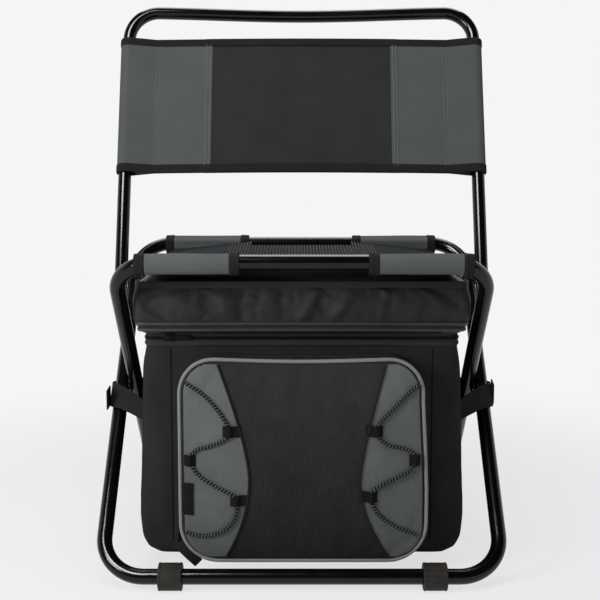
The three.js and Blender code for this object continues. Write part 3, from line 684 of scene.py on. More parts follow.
# Steel frame
legs = {
    "tubeRadius": 0.008,
    "outerHalf": 0.2045,
    "sideStep": 0.0172,
    "floorBar": (0.155, 0.013),
    "seatBar": (0.148, 0.332),
    "cornerRadius": 0.044,
    "bendSteps": 14,
}
tubeRadius = legs["tubeRadius"]
outerHalf = legs["outerHalf"]
innerHalf = outerHalf - legs["sideStep"]
backHalf = outerHalf + legs["sideStep"]
frontBar = Vector((0, pivot.y - legs["seatBar"][0], legs["seatBar"][1]))
rearBar = Vector((0, pivot.y + legs["seatBar"][0], legs["seatBar"][1]))
frontFloor = Vector((0, pivot.y - legs["floorBar"][0], legs["floorBar"][1]))
rearFloor = Vector((0, pivot.y + legs["floorBar"][0], legs["floorBar"][1]))


def legLoop(name, half, floor, seat):
    wide = Vector((half, 0, 0))
    corners = [floor, floor + wide, seat + wide, seat - wide, floor - wide, floor]
    path = roundedRun(corners, legs["cornerRadius"], legs["bendSteps"])[:-1]
    return tubeAlong(name, path, tubeRadius, True)


settle(legLoop("outerLoop", outerHalf, frontFloor, rearBar), "blackPaint", "outer_frame", "paint",
       "outer_leg_loop")
settle(legLoop("innerLoop", innerHalf, rearFloor, frontBar), "blackPaint", "inner_frame", "paint",
       "inner_leg_loop")

backrest = {
    "lean": math.radians(18.5),
    "length": 0.3535,
    "cornerRadius": 0.038,
    "bow": 0.010,
    "tail": 0.0389,
    "bandLow": 0.136,
    "bandHigh": 0.3135,
    "step": 0.012,
}
backUp = Vector((0, math.sin(backrest["lean"]), math.cos(backrest["lean"])))
backDeep = Vector((0, math.cos(backrest["lean"]), -math.sin(backrest["lean"])))
sideways = Vector((1, 0, 0))


def onBack(x, y, z):  # a point in the backrest's own leaning frame
    return backPivot + sideways * x + backDeep * y + backUp * z


def backrestPath():
    length = backrest["length"]
    straight = length - backrest["cornerRadius"]
    corners = [(backHalf, 0, -backrest["tail"]), (backHalf, 0, length), (-backHalf, 0, length),
               (-backHalf, 0, -backrest["tail"])]
    flat = roundedRun(corners, backrest["cornerRadius"], legs["bendSteps"])
    run = []
    for before, after in zip(flat, flat[1:]):
        parts = max(1, int((after - before).length / backrest["step"]))
        run += [before.lerp(after, part / parts) for part in range(parts)]
    run.append(flat[-1])
    path = []
    for point in run:
        rise = min(1.0, max(0.0, (point.z - straight) / backrest["cornerRadius"]))
        bow = backrest["bow"] * (1 + math.cos(math.pi * point.x / backHalf)) / 2
        path.append(onBack(point.x, bow * rise, point.z))
    return path


settle(tubeAlong("backrestTube", backrestPath(), tubeRadius), "blackPaint", "backrest", "paint",
       "backrest_tube")

fastener = {
    "shank": 0.003,
    "head": 0.006,
    "height": 0.0016,
    "dome": ((0, 1), (0.3, 1), (0.62, 0.86), (0.86, 0.6), (1, 0.3), (1, 0)),  # shares of height, radius
    "gap": 0.0003,
    "washer": 0.0075,
    "sheet": 0.0006,
    "pinBelow": 0.0267,
    "pinReach": 0.008,
    "pinTip": 0.8,
    "pinTaper": 0.0006,
    "cap": [(0, 0), (0, 0.0062), (0.0008, 0.0076), (0.0018, 0.008), (0.0024, 0.008), (0.0024, 0)],
    "capBelow": 0.0025,
}


def headProfile(seat, outwards):
    rise = fastener["height"] * outwards
    return [(seat + rise * up, fastener["head"] * out) for up, out in fastener["dome"]]


def makeRivet(name, side, inner, outer, place):
    start = inner - tubeRadius - fastener["gap"]
    end = outer + tubeRadius + fastener["gap"]
    profile = headProfile(start, -1)[::-1] + [(start, fastener["shank"]), (end, fastener["shank"])]
    profile += headProfile(end, 1)
    profile = [(side * along, radius) for along, radius in profile]
    return turned(name, profile, (0, place.y, place.z))


def makeWasher(name, side, inner, place):
    start = side * (inner + tubeRadius + fastener["gap"])
    end = start + side * fastener["sheet"]
    hole = fastener["shank"] + fastener["gap"]
    profile = [(start, hole), (start, fastener["washer"]), (end, fastener["washer"]), (end, hole)]
    return turned(name, profile, (0, place.y, place.z))


def makeStopPin(letter, side):
    place = onBack(0, 0, -fastener["pinBelow"])
    start = backHalf - tubeRadius - fastener["pinReach"]
    end = backHalf + tubeRadius + fastener["gap"]
    shank = fastener["shank"]
    profile = [(start, 0), (start, shank * fastener["pinTip"])]
    profile += [(start + fastener["pinTaper"], shank), (end, shank)]
    profile = [(side * along, radius) for along, radius in profile + headProfile(end, 1)]
    piece = turned("stopPin_" + letter, profile, (0, place.y, place.z))
    settle(piece, "rivetSteel", "backrest", "steel", "backrest_stop_pin_" + letter)


def makeEndCap(letter, side):
    piece = turned("endCap_" + letter, fastener["cap"], (0, 0, 0))
    end = onBack(side * backHalf, 0, -backrest["tail"] - fastener["capBelow"])
    turn = Matrix((backUp, sideways, backUp.cross(sideways))).transposed()
    setPoints(piece, [end + turn @ Vector(point) for point in pointsOf(piece)])
    settle(outward(piece), "blackNylon", "backrest", "nylon", "backrest_end_cap_" + letter)


crossings = {"pivot": (innerHalf, outerHalf, pivot), "backrest": (outerHalf, backHalf, backPivot)}
for letter, side in sides.items():
    for kind, (inner, outer, place) in crossings.items():
        rivet = makeRivet(f"{kind}Rivet_{letter}", side, inner, outer, place)
        settle(rivet, "rivetSteel", "outer_frame", "steel", f"{kind}_rivet_{letter}")
    for kind, (inner, outer, place) in crossings.items():
        washer = makeWasher(f"{kind}Washer_{letter}", side, inner, place)
        settle(washer, "blackNylon", "outer_frame", "nylon", f"{kind}_washer_{letter}")
    makeStopPin(letter, side)
    makeEndCap(letter, side)
print("steel frame made")

foot = {
    "length": 0.024,
    "radius": 0.0142,
    "soft": 0.0009,
    "softCut": 0.3,
    "bore": 0.0083,
    "grooveAt": 0.0026,
    "groove": ((0, 0), (0.0005, 0.0004), (0.0012, 0.0004), (0.002, 0.0002)),  # along the foot and into it
    "sole": 0.00002,
    "leftIn": 0.0018,
    "turns": 64,
}


def makeFoot(name, low, high, shift):
    radius, soft, length = foot["radius"], foot["soft"], foot["length"]
    cut = soft * foot["softCut"]
    half = [(0, foot["bore"]), (0, radius - soft), (cut, radius - cut), (soft, radius)]
    half += [(foot["grooveAt"] + along, radius - deep) for along, deep in foot["groove"]]
    profile = half + [(length - along, away) for along, away in half[::-1]]
    place = (low.x + shift, (low.y + high.y) / 2, legs["floorBar"][1])
    piece = turned(name, profile, place, foot["turns"])
    editAll(piece)
    bpy.ops.mesh.bisect(plane_co=(0, 0, foot["sole"]), plane_no=(0, 0, 1), clear_inner=True, use_fill=True)
    leaveEdit()
    smooth(piece, 30)
    return piece


for place, body in (("front", "outer_frame"), ("rear", "inner_frame")):
    for letter in sides:
        node = f"{place}_foot_{letter}"
        shift = foot["leftIn"] if node == "front_foot_l" else 0.0
        settle(makeFoot(f"{place}Foot_{letter}", *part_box(node), shift), "footRubber", body, "rubber", node)
print("feet made")

# Seat sleeves and sling
sleeve = {
    "inner": 0.0632,
    "outer": 0.1675,
    "radius": {"front": 0.0090, "rear": 0.0099},
    "hang": {"front": 0.0030, "rear": 0.0018},
    "tape": 0.0108,
    "tapeProud": 0.0003,
    "tapeRoll": 0.0003,
    "meet": 0.0062,
    "shift": {"front": {-1: 0.0020, 1: 0.0027}, "rear": {-1: -0.0024, 1: 0.0005}},
    "stations": 30,
    "around": 44,
    "hangCurve": 1.5,
    "tail": 0.0035,  # the sling's seam, which stands out towards the seat
    "tailUp": 0.45,
    "tailCurve": 14,
    "creaseSize": 0.018,
    "creaseDepth": 0.0005,
    "creaseStretch": (0.35, 3),
    "cloth": 0.0007,
    "under": 0.004,  # how far the tape laps over the cloth's end
    "tapeStations": 6,
    "stitchIn": 0.0022,
    "stitchProud": 0.0009,
}
legAngle = math.atan2(legs["floorBar"][0] + legs["seatBar"][0], legs["seatBar"][1] - legs["floorBar"][1])
barFrames = {  # the bar's middle, its half width, down its leg, and towards the seat
    "front": (frontBar, innerHalf, Vector((0, math.sin(legAngle), -math.cos(legAngle))), Vector((0, 1, 0))),
    "rear": (rearBar, outerHalf, Vector((0, -math.sin(legAngle), -math.cos(legAngle))), Vector((0, -1, 0))),
}


def tubeDrop(x, half):
    past = max(0.0, x - (half - legs["cornerRadius"]))
    return legs["cornerRadius"] - math.sqrt(legs["cornerRadius"] ** 2 - past ** 2)


def sleeveRing(where, side, x, proud):
    bar, half, down, inward = barFrames[where]
    along = side * x + sleeve["shift"][where][side]
    drop = tubeDrop(abs(along), half)
    cross = Vector((0, -down.z, down.y))
    seam = (inward + Vector((0, 0, sleeve["tailUp"]))).normalized()
    longer, shorter = sleeve["creaseStretch"]
    radius = sleeve["radius"][where] + proud
    ring = []
    for index in range(sleeve["around"]):
        turn = 2 * math.pi * index / sleeve["around"]
        offset = down * (drop / 2 + (radius + drop / 2) * math.cos(turn)) + cross * (radius * math.sin(turn))
        facing = offset.normalized()
        offset.z -= sleeve["hang"][where] * max(0.0, -facing.z) ** sleeve["hangCurve"]
        towards = max(0.0, facing.dot(seam))
        offset += facing * (sleeve["tail"] * towards ** sleeve["tailCurve"])
        bump = wobble(side * x * longer, offset.y + bar.y, offset.z * shorter, sleeve["creaseSize"], 1)
        offset += facing * (sleeve["creaseDepth"] * bump)
        ring.append(bar + sideways * along + offset)
    return ring


def sleeveStretch(name, where, side, start, end, proud, stations, rolled):
    rings = []
    for index in range(stations + 1):
        share = index / stations
        x = start + (end - start) * share
        roll = proud
        if rolled:  # tape puffs between its two edges
            roll += sleeve["tapeRoll"] * math.sqrt(max(0.0, 1 - (2 * share - 1) ** 4))
        rings.append(sleeveRing(where, side, x, roll))
    piece = outward(loft(name, rings))
    thicken(piece, sleeve["cloth"])
    refine(piece)
    smooth(piece, 50)
    return piece


def sleeveEdgeStitches(where, side):
    bar, _, down, inward = barFrames[where]
    meeting = inward - down * inward.dot(down)  # towards the other sleeve when the legs are closed
    stitchIn = sleeve["stitchIn"]
    paths = []
    for x in (sleeve["inner"] + sleeve["tape"] - stitchIn, sleeve["outer"] - sleeve["tape"] + stitchIn):
        ring = sleeveRing(where, side, x, sleeve["tapeProud"] + sleeve["stitchProud"])
        free = [(point - bar).dot(meeting) < sleeve["meet"] for point in ring]
        start = next(index for index in range(len(ring)) if free[index] and not free[index - 1])
        paths.append((ring[start:] + ring[:start])[:sum(free)])
    middle = bar + sideways * (side * (sleeve["inner"] + sleeve["outer"]) / 2)

    def out(place):
        away = place - middle
        return Vector((0, away.y, away.z)).normalized()

    return paths, out


for where, body in (("front", "inner_frame"), ("rear", "outer_frame")):
    for letter, side in sides.items():
        name = f"{where}Sleeve_{letter}"
        inner, outer, tape, under = (sleeve[key] for key in ("inner", "outer", "tape", "under"))
        cloth = sleeveStretch(name, where, side, inner + under, outer - under, 0, sleeve["stations"], False)
        settle(cloth, "sleeveGrey", body, "grey_cloth", f"{where}_sleeve_{letter}")
        for end, start, stop in (("Inner", inner, inner + tape), ("Outer", outer - tape, outer)):
            binding = sleeveStretch(f"{name}{end}Tape", where, side, start, stop, sleeve["tapeProud"],
                                    sleeve["tapeStations"], True)
            settle(binding, "tapeBlack", body, "binding")
        paths, out = sleeveEdgeStitches(where, side)
        stitches(name + "Stitches", paths, out, "blackThread", body, "binding")
print("seat sleeves made")

sling = {
    "halfWidth": 0.164,
    "ribHalf": 0.092,
    "ribPitch": 0.0037,
    "ribDepth": 0.0008,
    "sag": 0.0092,
    "attachMiddle": 0.0035,
    "attachSide": -0.0075,
    "tuck": 0.0008,
    "gripHalf": 0.0632,
    "gripDepth": 0.034,
    "cloth": 0.0018,
    "rows": 72,
    "sagCurve": 2.2,
    "waveSize": 0.09,
    "waveDepth": 0.0012,
}


def slingAttach(x):  # where the sling meets the sleeves, lower towards the sides
    share = min(1.0, max(0.0, (abs(x) - sling["gripHalf"]) / (sling["halfWidth"] - sling["gripHalf"])))
    return sling["attachMiddle"] + (sling["attachSide"] - sling["attachMiddle"]) * share


def slingPlace(x, share):
    lift = slingAttach(x)
    inset = math.sqrt(sleeve["radius"]["front"] ** 2 - lift ** 2) - sling["tuck"]
    y = frontBar.y + inset + (rearBar.y - frontBar.y - 2 * inset) * share
    return y, frontBar.z + lift - sling["sag"] * (1 - abs(2 * share - 1) ** sling["sagCurve"])


def makeSling():
    columns = int(round(2 * sling["halfWidth"] / (sling["ribPitch"] / 4)))
    rings = []
    for row in range(sling["rows"] + 1):
        share = row / sling["rows"]
        ring = []
        for column in range(columns + 1):
            x = sling["halfWidth"] * (2 * column / columns - 1)
            y, z = slingPlace(x, share)
            if abs(x) < sling["ribHalf"]:
                z += sling["ribDepth"] * math.cos(2 * math.pi * x / sling["ribPitch"])
            z += wobble(x, y, 0, sling["waveSize"], sling["waveDepth"]) * (1 - abs(2 * share - 1))
            ring.append((x, y, z))
        rings.append(ring)
    piece = loft("seatSling", rings, around=False)
    frontEdge = frontBar.y + sling["gripDepth"]
    rearEdge = rearBar.y - sling["gripDepth"]
    cutAway(piece, lambda middle, normal: abs(middle.x) < sling["gripHalf"]
            and not frontEdge < middle.y < rearEdge)
    thicken(piece, sling["cloth"])
    smooth(piece, 50)
    return piece


seatSling = makeSling()
settle(seatSling, "meshBlack", None, "mesh", "seat_panel")
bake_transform(seatSling)
print("sling made")

# Backrest cloth
band = {
    "cloth": 0.0026,
    "seam": 0.036,
    "wrapRadius": 0.0101,
    "wrapEdge": 0.114,
    "hem": 0.009,
    "hemProud": 0.0007,
    "crown": 0.0022,
    "tapeHigh": 0.0086,
    "tapeLow": 0.0098,
    "tapeProud": 0.0008,
    "rows": 26,
    "wrapCloth": 0.0012,
    "centreSink": 0.0003,
    "centreLap": 0.6,  # of the hem
    "rippleAt": 0.4,
    "rippleSize": 0.06,
    "rippleDepth": 0.0009,
    "flare": (0.12, 0.94),  # shares of the way from the seam to the tube
    "tapeFoot": 0.0001,
    "tapeLip": 0.0003,
    "tapeFold": ((1, -0.001), (0.75, 0.0004), (0.2, 0.0011)),  # share of its proudness, how far along
    "tapeInner": 0.0009,
    "tapeInside": 0.0002,
    "boreCloth": 0.0016,
    "boreLeast": 0.2,
}
seamX = backHalf - band["seam"]


def bandEdge(x, edge):  # the band's edges rise a little towards the middle
    return edge + band["crown"] * math.cos(math.pi * x / (2 * backHalf))


def bandRipple(x, z, share):
    return wobble(x, z, band["rippleAt"], band["rippleSize"], band["rippleDepth"]) * math.sin(math.pi * share)


def wrapOutline(side, proud):  # from the front's inner edge round the tube to the back's inner edge
    half = band["cloth"] / 2 + proud
    radius = band["wrapRadius"] + proud
    lean = math.acos(radius / band["seam"])
    front = []
    edge = band["wrapEdge"]
    for share in np.linspace(0, 1, 22):
        x = edge + (seamX - edge) * share
        hem = band["hemProud"] if x < edge + band["hem"] else 0
        front.append((x, -half - hem))
    for share in np.linspace(*band["flare"], 8):
        angle = -(math.pi - lean)
        end = (backHalf + radius * math.cos(angle), radius * math.sin(angle))
        front.append((seamX + (end[0] - seamX) * share, -half + (end[1] + half) * share))
    arc = []
    for share in np.linspace(0, 1, 30):
        angle = (math.pi - lean) * (2 * share - 1)
        arc.append((backHalf + radius * math.cos(angle), radius * math.sin(angle)))
    back = [(x, -y) for x, y in front[::-1]]
    return [(side * x, y) for x, y in front + arc + back]


def bandRings(outline):
    rings = []
    low, high = backrest["bandLow"], backrest["bandHigh"]
    for row in range(band["rows"] + 1):
        share = row / band["rows"]
        ring = []
        for x, y in outline:
            z = bandEdge(x, low) + (bandEdge(x, high) - bandEdge(x, low)) * share
            ring.append(onBack(x, y + bandRipple(x, z, share), z))
        rings.append(ring)
    return rings


def makeWrap(letter, side):
    piece = loft("backrestWrap_" + letter, bandRings(wrapOutline(side, 0)), around=False)
    thicken(piece, band["wrapCloth"], -side)
    outward(piece)
    smooth(piece, 40)
    return settle(piece, "backGrey", "backrest", "grey_cloth", "backrest_wrap_" + letter)


def makeBandCentre():
    edge = band["wrapEdge"] + band["hem"] * band["centreLap"]
    half = band["cloth"] / 2 - band["centreSink"]
    outline = [(x, -half) for x in np.linspace(-edge, edge, 40)]
    outline += [(x, half) for x in np.linspace(edge, -edge, 40)]
    piece = outward(loft("backrestPanel", bandRings(outline), ends=True))
    smooth(piece, 40)
    return settle(piece, "backBlack", "backrest", "black_cloth", "backrest_panel")


def closedOutline(proud):  # the whole band's outline, both faces and round both tubes
    right = wrapOutline(1, proud)
    flat = np.linspace(-band["wrapEdge"], band["wrapEdge"], 24)[1:-1]
    faceY = band["cloth"] / 2 + proud + band["hemProud"]
    front = [(x, -faceY) for x in flat]
    back = [(x, faceY) for x in flat[::-1]]
    left = [(-x, y) for x, y in right[::-1]]
    return front + right + back + left


def insideOutline():  # where the folded tape closes on the cloth, or on the sleeve's bore
    inner = []
    for x, y in closedOutline(0):
        if abs(x) < seamX:
            inner.append((x, math.copysign(band["tapeInside"], y)))
        else:
            away = math.hypot(abs(x) - backHalf, y)
            shrink = max(band["boreLeast"], (away - band["boreCloth"]) / away)
            inner.append((math.copysign(backHalf + (abs(x) - backHalf) * shrink, x), y * shrink))
    return inner


def makeBinding(name, edge, towards, height, node):
    proud = band["tapeProud"]
    profile = [(band["tapeFoot"], -height), (proud * 0.8, band["tapeLip"] - height), (proud, -height * 0.6)]
    profile += [(proud * share, along) for share, along in band["tapeFold"]]
    rings = []
    for lift, along in profile:
        rings.append([onBack(x, y, bandEdge(x, edge) + towards * along) for x, y in closedOutline(lift)])
    for along in (band["tapeInner"], -height):
        rings.append([onBack(x, y, bandEdge(x, edge) + towards * along) for x, y in insideOutline()])
    piece = outward(loft(name, rings, along=True))
    smooth(piece, 50)
    return settle(piece, "tapeBlack", "backrest", "binding", node)


for letter, side in sides.items():
    makeWrap(letter, side)
makeBandCentre()
makeBinding("backrestBindingTop", backrest["bandHigh"], 1, band["tapeHigh"], "backrest_binding_top")
makeBinding("backrestBindingBottom", backrest["bandLow"], -1, band["tapeLow"], "backrest_binding_bottom")

bandStitch = {"sleeveLines": (0.1812, 0.1858), "edgeLines": (0.1172, 0.1214), "edgeIn": 0.006,
              "proud": 0.0004}


def bandStitchPaths(lines, side, face, reach):
    paths = []
    for line in lines:
        depth = band["cloth"] / 2 + bandStitch["proud"]
        depth += band["hemProud"] if line < band["wrapEdge"] + band["hem"] else 0
        low = bandEdge(line, backrest["bandLow"]) - reach
        high = bandEdge(line, backrest["bandHigh"]) + reach
        path = []
        for share in np.linspace(0, 1, 40):
            z = low + (high - low) * share
            path.append(onBack(side * line, face * depth + bandRipple(side * line, z, share), z))
        paths.append(path)
    return paths


for face, label in ((-1, "Front"), (1, "Back")):
    sleevePaths = []
    edgePaths = []
    for side in sides.values():
        sleevePaths += bandStitchPaths(bandStitch["sleeveLines"], side, face, 0)
        edgePaths += bandStitchPaths(bandStitch["edgeLines"], side, face, -bandStitch["edgeIn"])
    stitches("sleeveStitches" + label, sleevePaths, backDeep * face, "blueThread", "backrest", "grey_cloth")
    stitches("edgeStitches" + label, edgePaths, backDeep * face, "greyThread", "backrest", "grey_cloth")
print("backrest made")

# Cooler bag
bag = {
    "inset": 0.0012,
    "topShare": 0.957,
    "corner": 0.009,
    "frontEdge": 0.004,
    "baseEdge": 0.024,
    "baseDrop": 0.0042,
    "rim": 0.0035,
    "rimSink": 0.0015,
    "rimHeight": 0.2432,
    "voxel": 0.006,
    "seamX": 0.1365,
    "seamRadius": 0.0008,
    "wall": 0.0022,
    "topRise": 0.003,
    "smoothing": {"factor": 0.5, "iterations": 3},
    "seamPin": (0.0034, 0.85),  # how near, and how firmly the puffing cloth is held
    "basePin": (0.004, 0.35),
    "topPin": (0.008, 1.0),
    "faceDepth": 0.012,
    "rimCorner": 0.012,
    "rimStep": 0.004,
    "seamRun": (0.032, 0.238),
    "seamSink": 0.4,
    "foldKeep": 0.15,
    "puff": {"pressure": 3.2, "frames": 20, "cap": 0.0040, "tension": 14, "bending": 0.8, "slack": 0.006},
}
liner = {"inset": 0.004, "above": 0.1, "corner": 0.012, "cloth": 0.0012}
edgeTest = {"long": 0.02, "level": 0.002, "near": 0.003, "facing": 0.6}


def foldFlat(piece):  # gives the piece its own copy of its mesh
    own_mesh(piece)
    return piece


def settleSoft(piece, finish, body, slot, *nodes):  # settled, with its own copy of its mesh
    return foldFlat(settle(piece, finish, body, slot, *nodes))


def upright(first, second):
    return abs(first.z - second.z) > edgeTest["long"]


def narrowTop(piece, height):
    selectWhere(piece, "VERT", lambda point: point.z > height)
    bpy.ops.transform.resize(value=(bag["topShare"], 1, 1))
    leaveEdit()


def makeBag():
    low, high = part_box("cooler_shell")
    inset = bag["inset"]
    top = high.z + bag["topRise"]
    middle = (low.z + high.z) / 2
    piece = boxAt("bagShell", low + Vector((inset, inset, -bag["baseDrop"])),
                  high - Vector((inset, inset, -bag["topRise"])))

    def atBase(first, second):
        return max(first.z, second.z) < low.z + edgeTest["near"]

    def crosswise(first, second):
        return abs(first.y - second.y) < edgeTest["level"]

    narrowTop(piece, middle)
    bevelEdges(piece, lambda first, second: atBase(first, second)
               and abs(first.y - second.y) > edgeTest["long"], bag["baseEdge"], 6)
    bevelEdges(piece, lambda first, second: crosswise(first, second) and upright(first, second)
               and max(first.z, second.z) > middle, bag["corner"], 4)
    bevelEdges(piece, lambda first, second: crosswise(first, second) and atBase(first, second),
               bag["frontEdge"], 3)
    applyModifier(piece, "REMESH", mode="VOXEL", voxel_size=bag["voxel"])
    applyModifier(piece, "SMOOTH", **bag["smoothing"])
    cutAway(piece, lambda centre, normal: normal.z > edgeTest["facing"] and centre.z > top - bag["voxel"])
    points = pointsOf(piece)
    pin = np.zeros(len(points))
    fromFaces = np.minimum(np.abs(points[:, 1] - low.y), np.abs(points[:, 1] - high.y))
    fromSeams = np.abs(np.abs(points[:, 0]) - bag["seamX"])
    pin[(fromFaces < bag["faceDepth"]) & (fromSeams < bag["seamPin"][0])] = bag["seamPin"][1]
    pin[points[:, 2] < low.z + bag["basePin"][0]] = bag["basePin"][1]
    pin[points[:, 2] > top - bag["topPin"][0]] = bag["topPin"][1]
    inflate(piece, bag["puff"], pin)
    refine(piece)
    thicken(piece, bag["wall"])
    boxUv(piece)
    smooth(piece, 60)
    return settleSoft(piece, "bagBlack", "outer_frame", "black_cloth", "cooler_shell", "cooler_foam")


def makeLiner():
    low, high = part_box("cooler_liner")
    inset = Vector((liner["inset"], liner["inset"], 0))
    piece = boxAt("bagLiner", low + inset, high - inset)
    narrowTop(piece, liner["above"])
    bevelEdges(piece, upright, liner["corner"], 4)
    cutAway(piece, lambda centre, normal: normal.z > edgeTest["facing"])
    thicken(piece, liner["cloth"])
    boxUv(piece)
    smooth(piece, 40)
    return settleSoft(piece, "linerSilver", "outer_frame", "liner", "cooler_liner")


bagShell = makeBag()
makeLiner()


def planRun(half, front, rear, radius, steps):  # a closed rounded rectangle in plan, from its front's middle
    corners = [(0, front), (half, front), (half, rear), (-half, rear), (-half, front), (0, front)]
    return roundedRun([Vector((x, y, 0)) for x, y in corners], radius, steps)


def evenRun(path, pitch):
    return [place for place, ahead in alongPath(path, pitch)]


def sharedOut(run, count):  # an open run shared out over a set number of points
    points = np.array([tuple(point) for point in run])
    at = np.concatenate([[0], np.cumsum(np.linalg.norm(np.diff(points, axis=0), axis=1))])
    wanted = np.linspace(0, at[-1], count)
    places = np.column_stack([np.interp(wanted, at, points[:, axis]) for axis in range(3)])
    return [Vector(place) for place in places]


def makeRim():  # the bag's rolled upper edge
    low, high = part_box("cooler_shell")
    inset = bag["inset"] + bag["rimSink"]
    half = (high.x - bag["inset"]) * bag["topShare"] - bag["rimSink"]
    run = planRun(half, low.y + inset, high.y - inset, bag["rimCorner"], 6)
    path = [point + Vector((0, 0, bag["rimHeight"])) for point in evenRun(run, bag["rimStep"])]
    # the rim uses the lighter black, painted light under the lid's overhang
    settleSoft(cordAlong("bagRim", path, bag["rim"], 14, True), "zipBlackPaintedLight", "outer_frame", "black_cloth")


makeRim()
print("bag made")

# Lid and its zip
lid = {
    "corner": 0.008,
    "shrink": 0.0008,
    "topEdge": 0.002,
    "seam": 0.0011,
    "bandLow": 0.3014,
    "bandHigh": 0.3088,
    "voxel": 0.004,
    "slotHalf": 0.149,
    "tuckFrom": 0.2710,
    "tuckIn": 0.0052,
    "tuckCurve": 1.5,
    "tuckWhole": 0.12,
    "slotTop": 0.3012,
    "wall": 0.0022,
    "baseDrop": 0.003,
    "base": 0.006,
    "nearTop": 0.004,
    "topPin": (0.012, 0.003, 0.7),
    "slotPin": (0.014, 0.006, 0.9),
    "seamStep": 0.004,
    "seamSink": 0.6,
    "bandProud": 0.0003,
    "puff": {"pressure": 2.0, "frames": 16, "cap": 0.0022, "tension": 14, "bending": 0.8, "slack": 0.006},
}
lidFlap = {
    "proud": 0.0024,
    "narrow": 0.003,
    "reach": 0.030,
    "low": 0.2566,
    "high": 0.3021,
    "rows": 22,
    "pitch": 0.003,
    "cloth": 0.0018,
    "tuck": -0.0006,
    "folds": [  # soft folds: two ends in X and Z, half width, how far out
        ((0.0021, 0.2732), (0.0165, 0.2991), 0.0050, 0.0034),
        ((0.0319, 0.2722), (0.0525, 0.2939), 0.0054, 0.0036),
        ((0.0823, 0.2732), (0.0875, 0.2991), 0.0050, 0.0032),
        ((-0.0640, 0.2740), (-0.0620, 0.2960), 0.0060, -0.0028),
        ((-0.0205, 0.2740), (-0.0195, 0.2960), 0.0055, -0.0026),
        ((-0.1300, 0.2780), (-0.0850, 0.2850), 0.0140, 0.0022),
        ((0.1150, 0.2730), (0.1290, 0.2960), 0.0058, 0.0022),
    ],
    "ridges": (0.2591, 0.2654),
    "ridgeRadius": 0.0021,
    "ridgeProud": 0.0012,
    "tuckAbove": 0.6,
    "narrowBelow": 3,
    "creaseSize": 0.018,
    "creaseDepth": 0.0006,
    "creaseStretch": 0.5,
    "creaseAt": 0.2,
    "topHeld": 0.001,
    "endHeld": (0.002, 0.7),
    "puff": {"pressure": 0.9, "frames": 22, "cap": 0.0042, "tension": 9, "bending": 0.9, "slack": 0.016},
}
lidZip = {
    "low": 0.2425,
    "high": 0.2580,
    "cloth": 0.0011,
    "step": 0.005,
    "tooth": 0.0021,
    "toothLow": 0.2486,
    "toothSize": 0.0026,
    "toothOut": 0.0004,
    "toothHalf": (0.0007, 0.0009, 0.0006),
}


def tuckedIn(x, z):  # the lid draws in at its sides towards its lower edge
    share = min(1.0, max(0.0, (lid["tuckFrom"] - z) / (lid["tuckFrom"] - lidFlap["low"])))
    inward = math.copysign(lid["tuckIn"] * share ** lid["tuckCurve"], x)
    return x - inward * min(1.0, abs(x) / lid["tuckWhole"])


def makeLidCap():
    low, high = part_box("lid_cap")
    shrink = lid["shrink"]
    piece = boxAt("lidCap", low + Vector((shrink, shrink, -lid["baseDrop"])),
                  high - Vector((shrink, shrink, shrink)))
    bevelEdges(piece, upright, lid["corner"], 5)
    bevelEdges(piece, lambda first, second: min(first.z, second.z) > high.z - lid["nearTop"],
               lid["topEdge"], 4)
    applyModifier(piece, "REMESH", mode="VOXEL", voxel_size=lid["voxel"])
    facing = edgeTest["facing"]
    base = low.z + lid["base"]
    cutAway(piece, lambda centre, normal: (normal.z < -facing and centre.z < base)
            or (normal.y < -facing and abs(centre.x) < lid["slotHalf"] and centre.z < lid["slotTop"]))
    points = pointsOf(piece)
    pin = np.zeros(len(points))
    pin[points[:, 2] < base] = 1.0
    under, over, hold = lid["topPin"]
    pin[(points[:, 2] > high.z - under) & (points[:, 2] < high.z - over)] = hold
    deep, beside, hold = lid["slotPin"]
    pin[(points[:, 1] < low.y + deep) & (np.abs(points[:, 0]) < lid["slotHalf"] + beside)] = hold
    points[:, 0] = [tuckedIn(x, z) for x, y, z in points]
    setPoints(piece, points)
    inflate(piece, lid["puff"], pin)
    refine(piece)
    thicken(piece, lid["wall"])
    boxUv(piece)
    smooth(piece, 60)
    # the lid's cloth is a lighter black, painted light for its shaded top
    return settleSoft(piece, "lidBlackPaintedLight", "outer_frame", "black_cloth", "lid_cap", "lid_foam")


def makeLidSeam():
    low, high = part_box("lid_cap")
    inset = lid["shrink"] + lid["seam"] * lid["seamSink"]
    run = evenRun(planRun(high.x - inset, low.y + inset, high.y - inset, lid["corner"], 6), lid["seamStep"])
    path = [point + Vector((0, 0, high.z - inset)) for point in run]
    piece = cordAlong("lidSeam", path, lid["seam"], 10, True)
    settleSoft(piece, "tapeBlack", "outer_frame", "binding")


def flapPlan(proud, narrow):  # across the front and a little way round both corners
    low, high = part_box("lid_cap")
    radius = lid["corner"]
    wide = high.x - lid["shrink"] + proud - narrow
    corners = [(-wide, low.y + lidFlap["reach"], 0), (-wide, low.y - proud, 0), (wide, low.y - proud, 0),
               (wide, low.y + lidFlap["reach"], 0)]
    return evenRun(roundedRun([Vector(corner) for corner in corners], radius, 8), lidFlap["pitch"])


def foldAt(x, z, folds):
    lift = 0.0
    for start, end, half, depth in folds:
        run = Vector(end) - Vector(start)
        place = Vector((x, z)) - Vector(start)
        share = min(1.0, max(0.0, place.dot(run) / run.length_squared))
        lift += depth * math.exp(-((place - run * share).length / half) ** 2)
    return lift


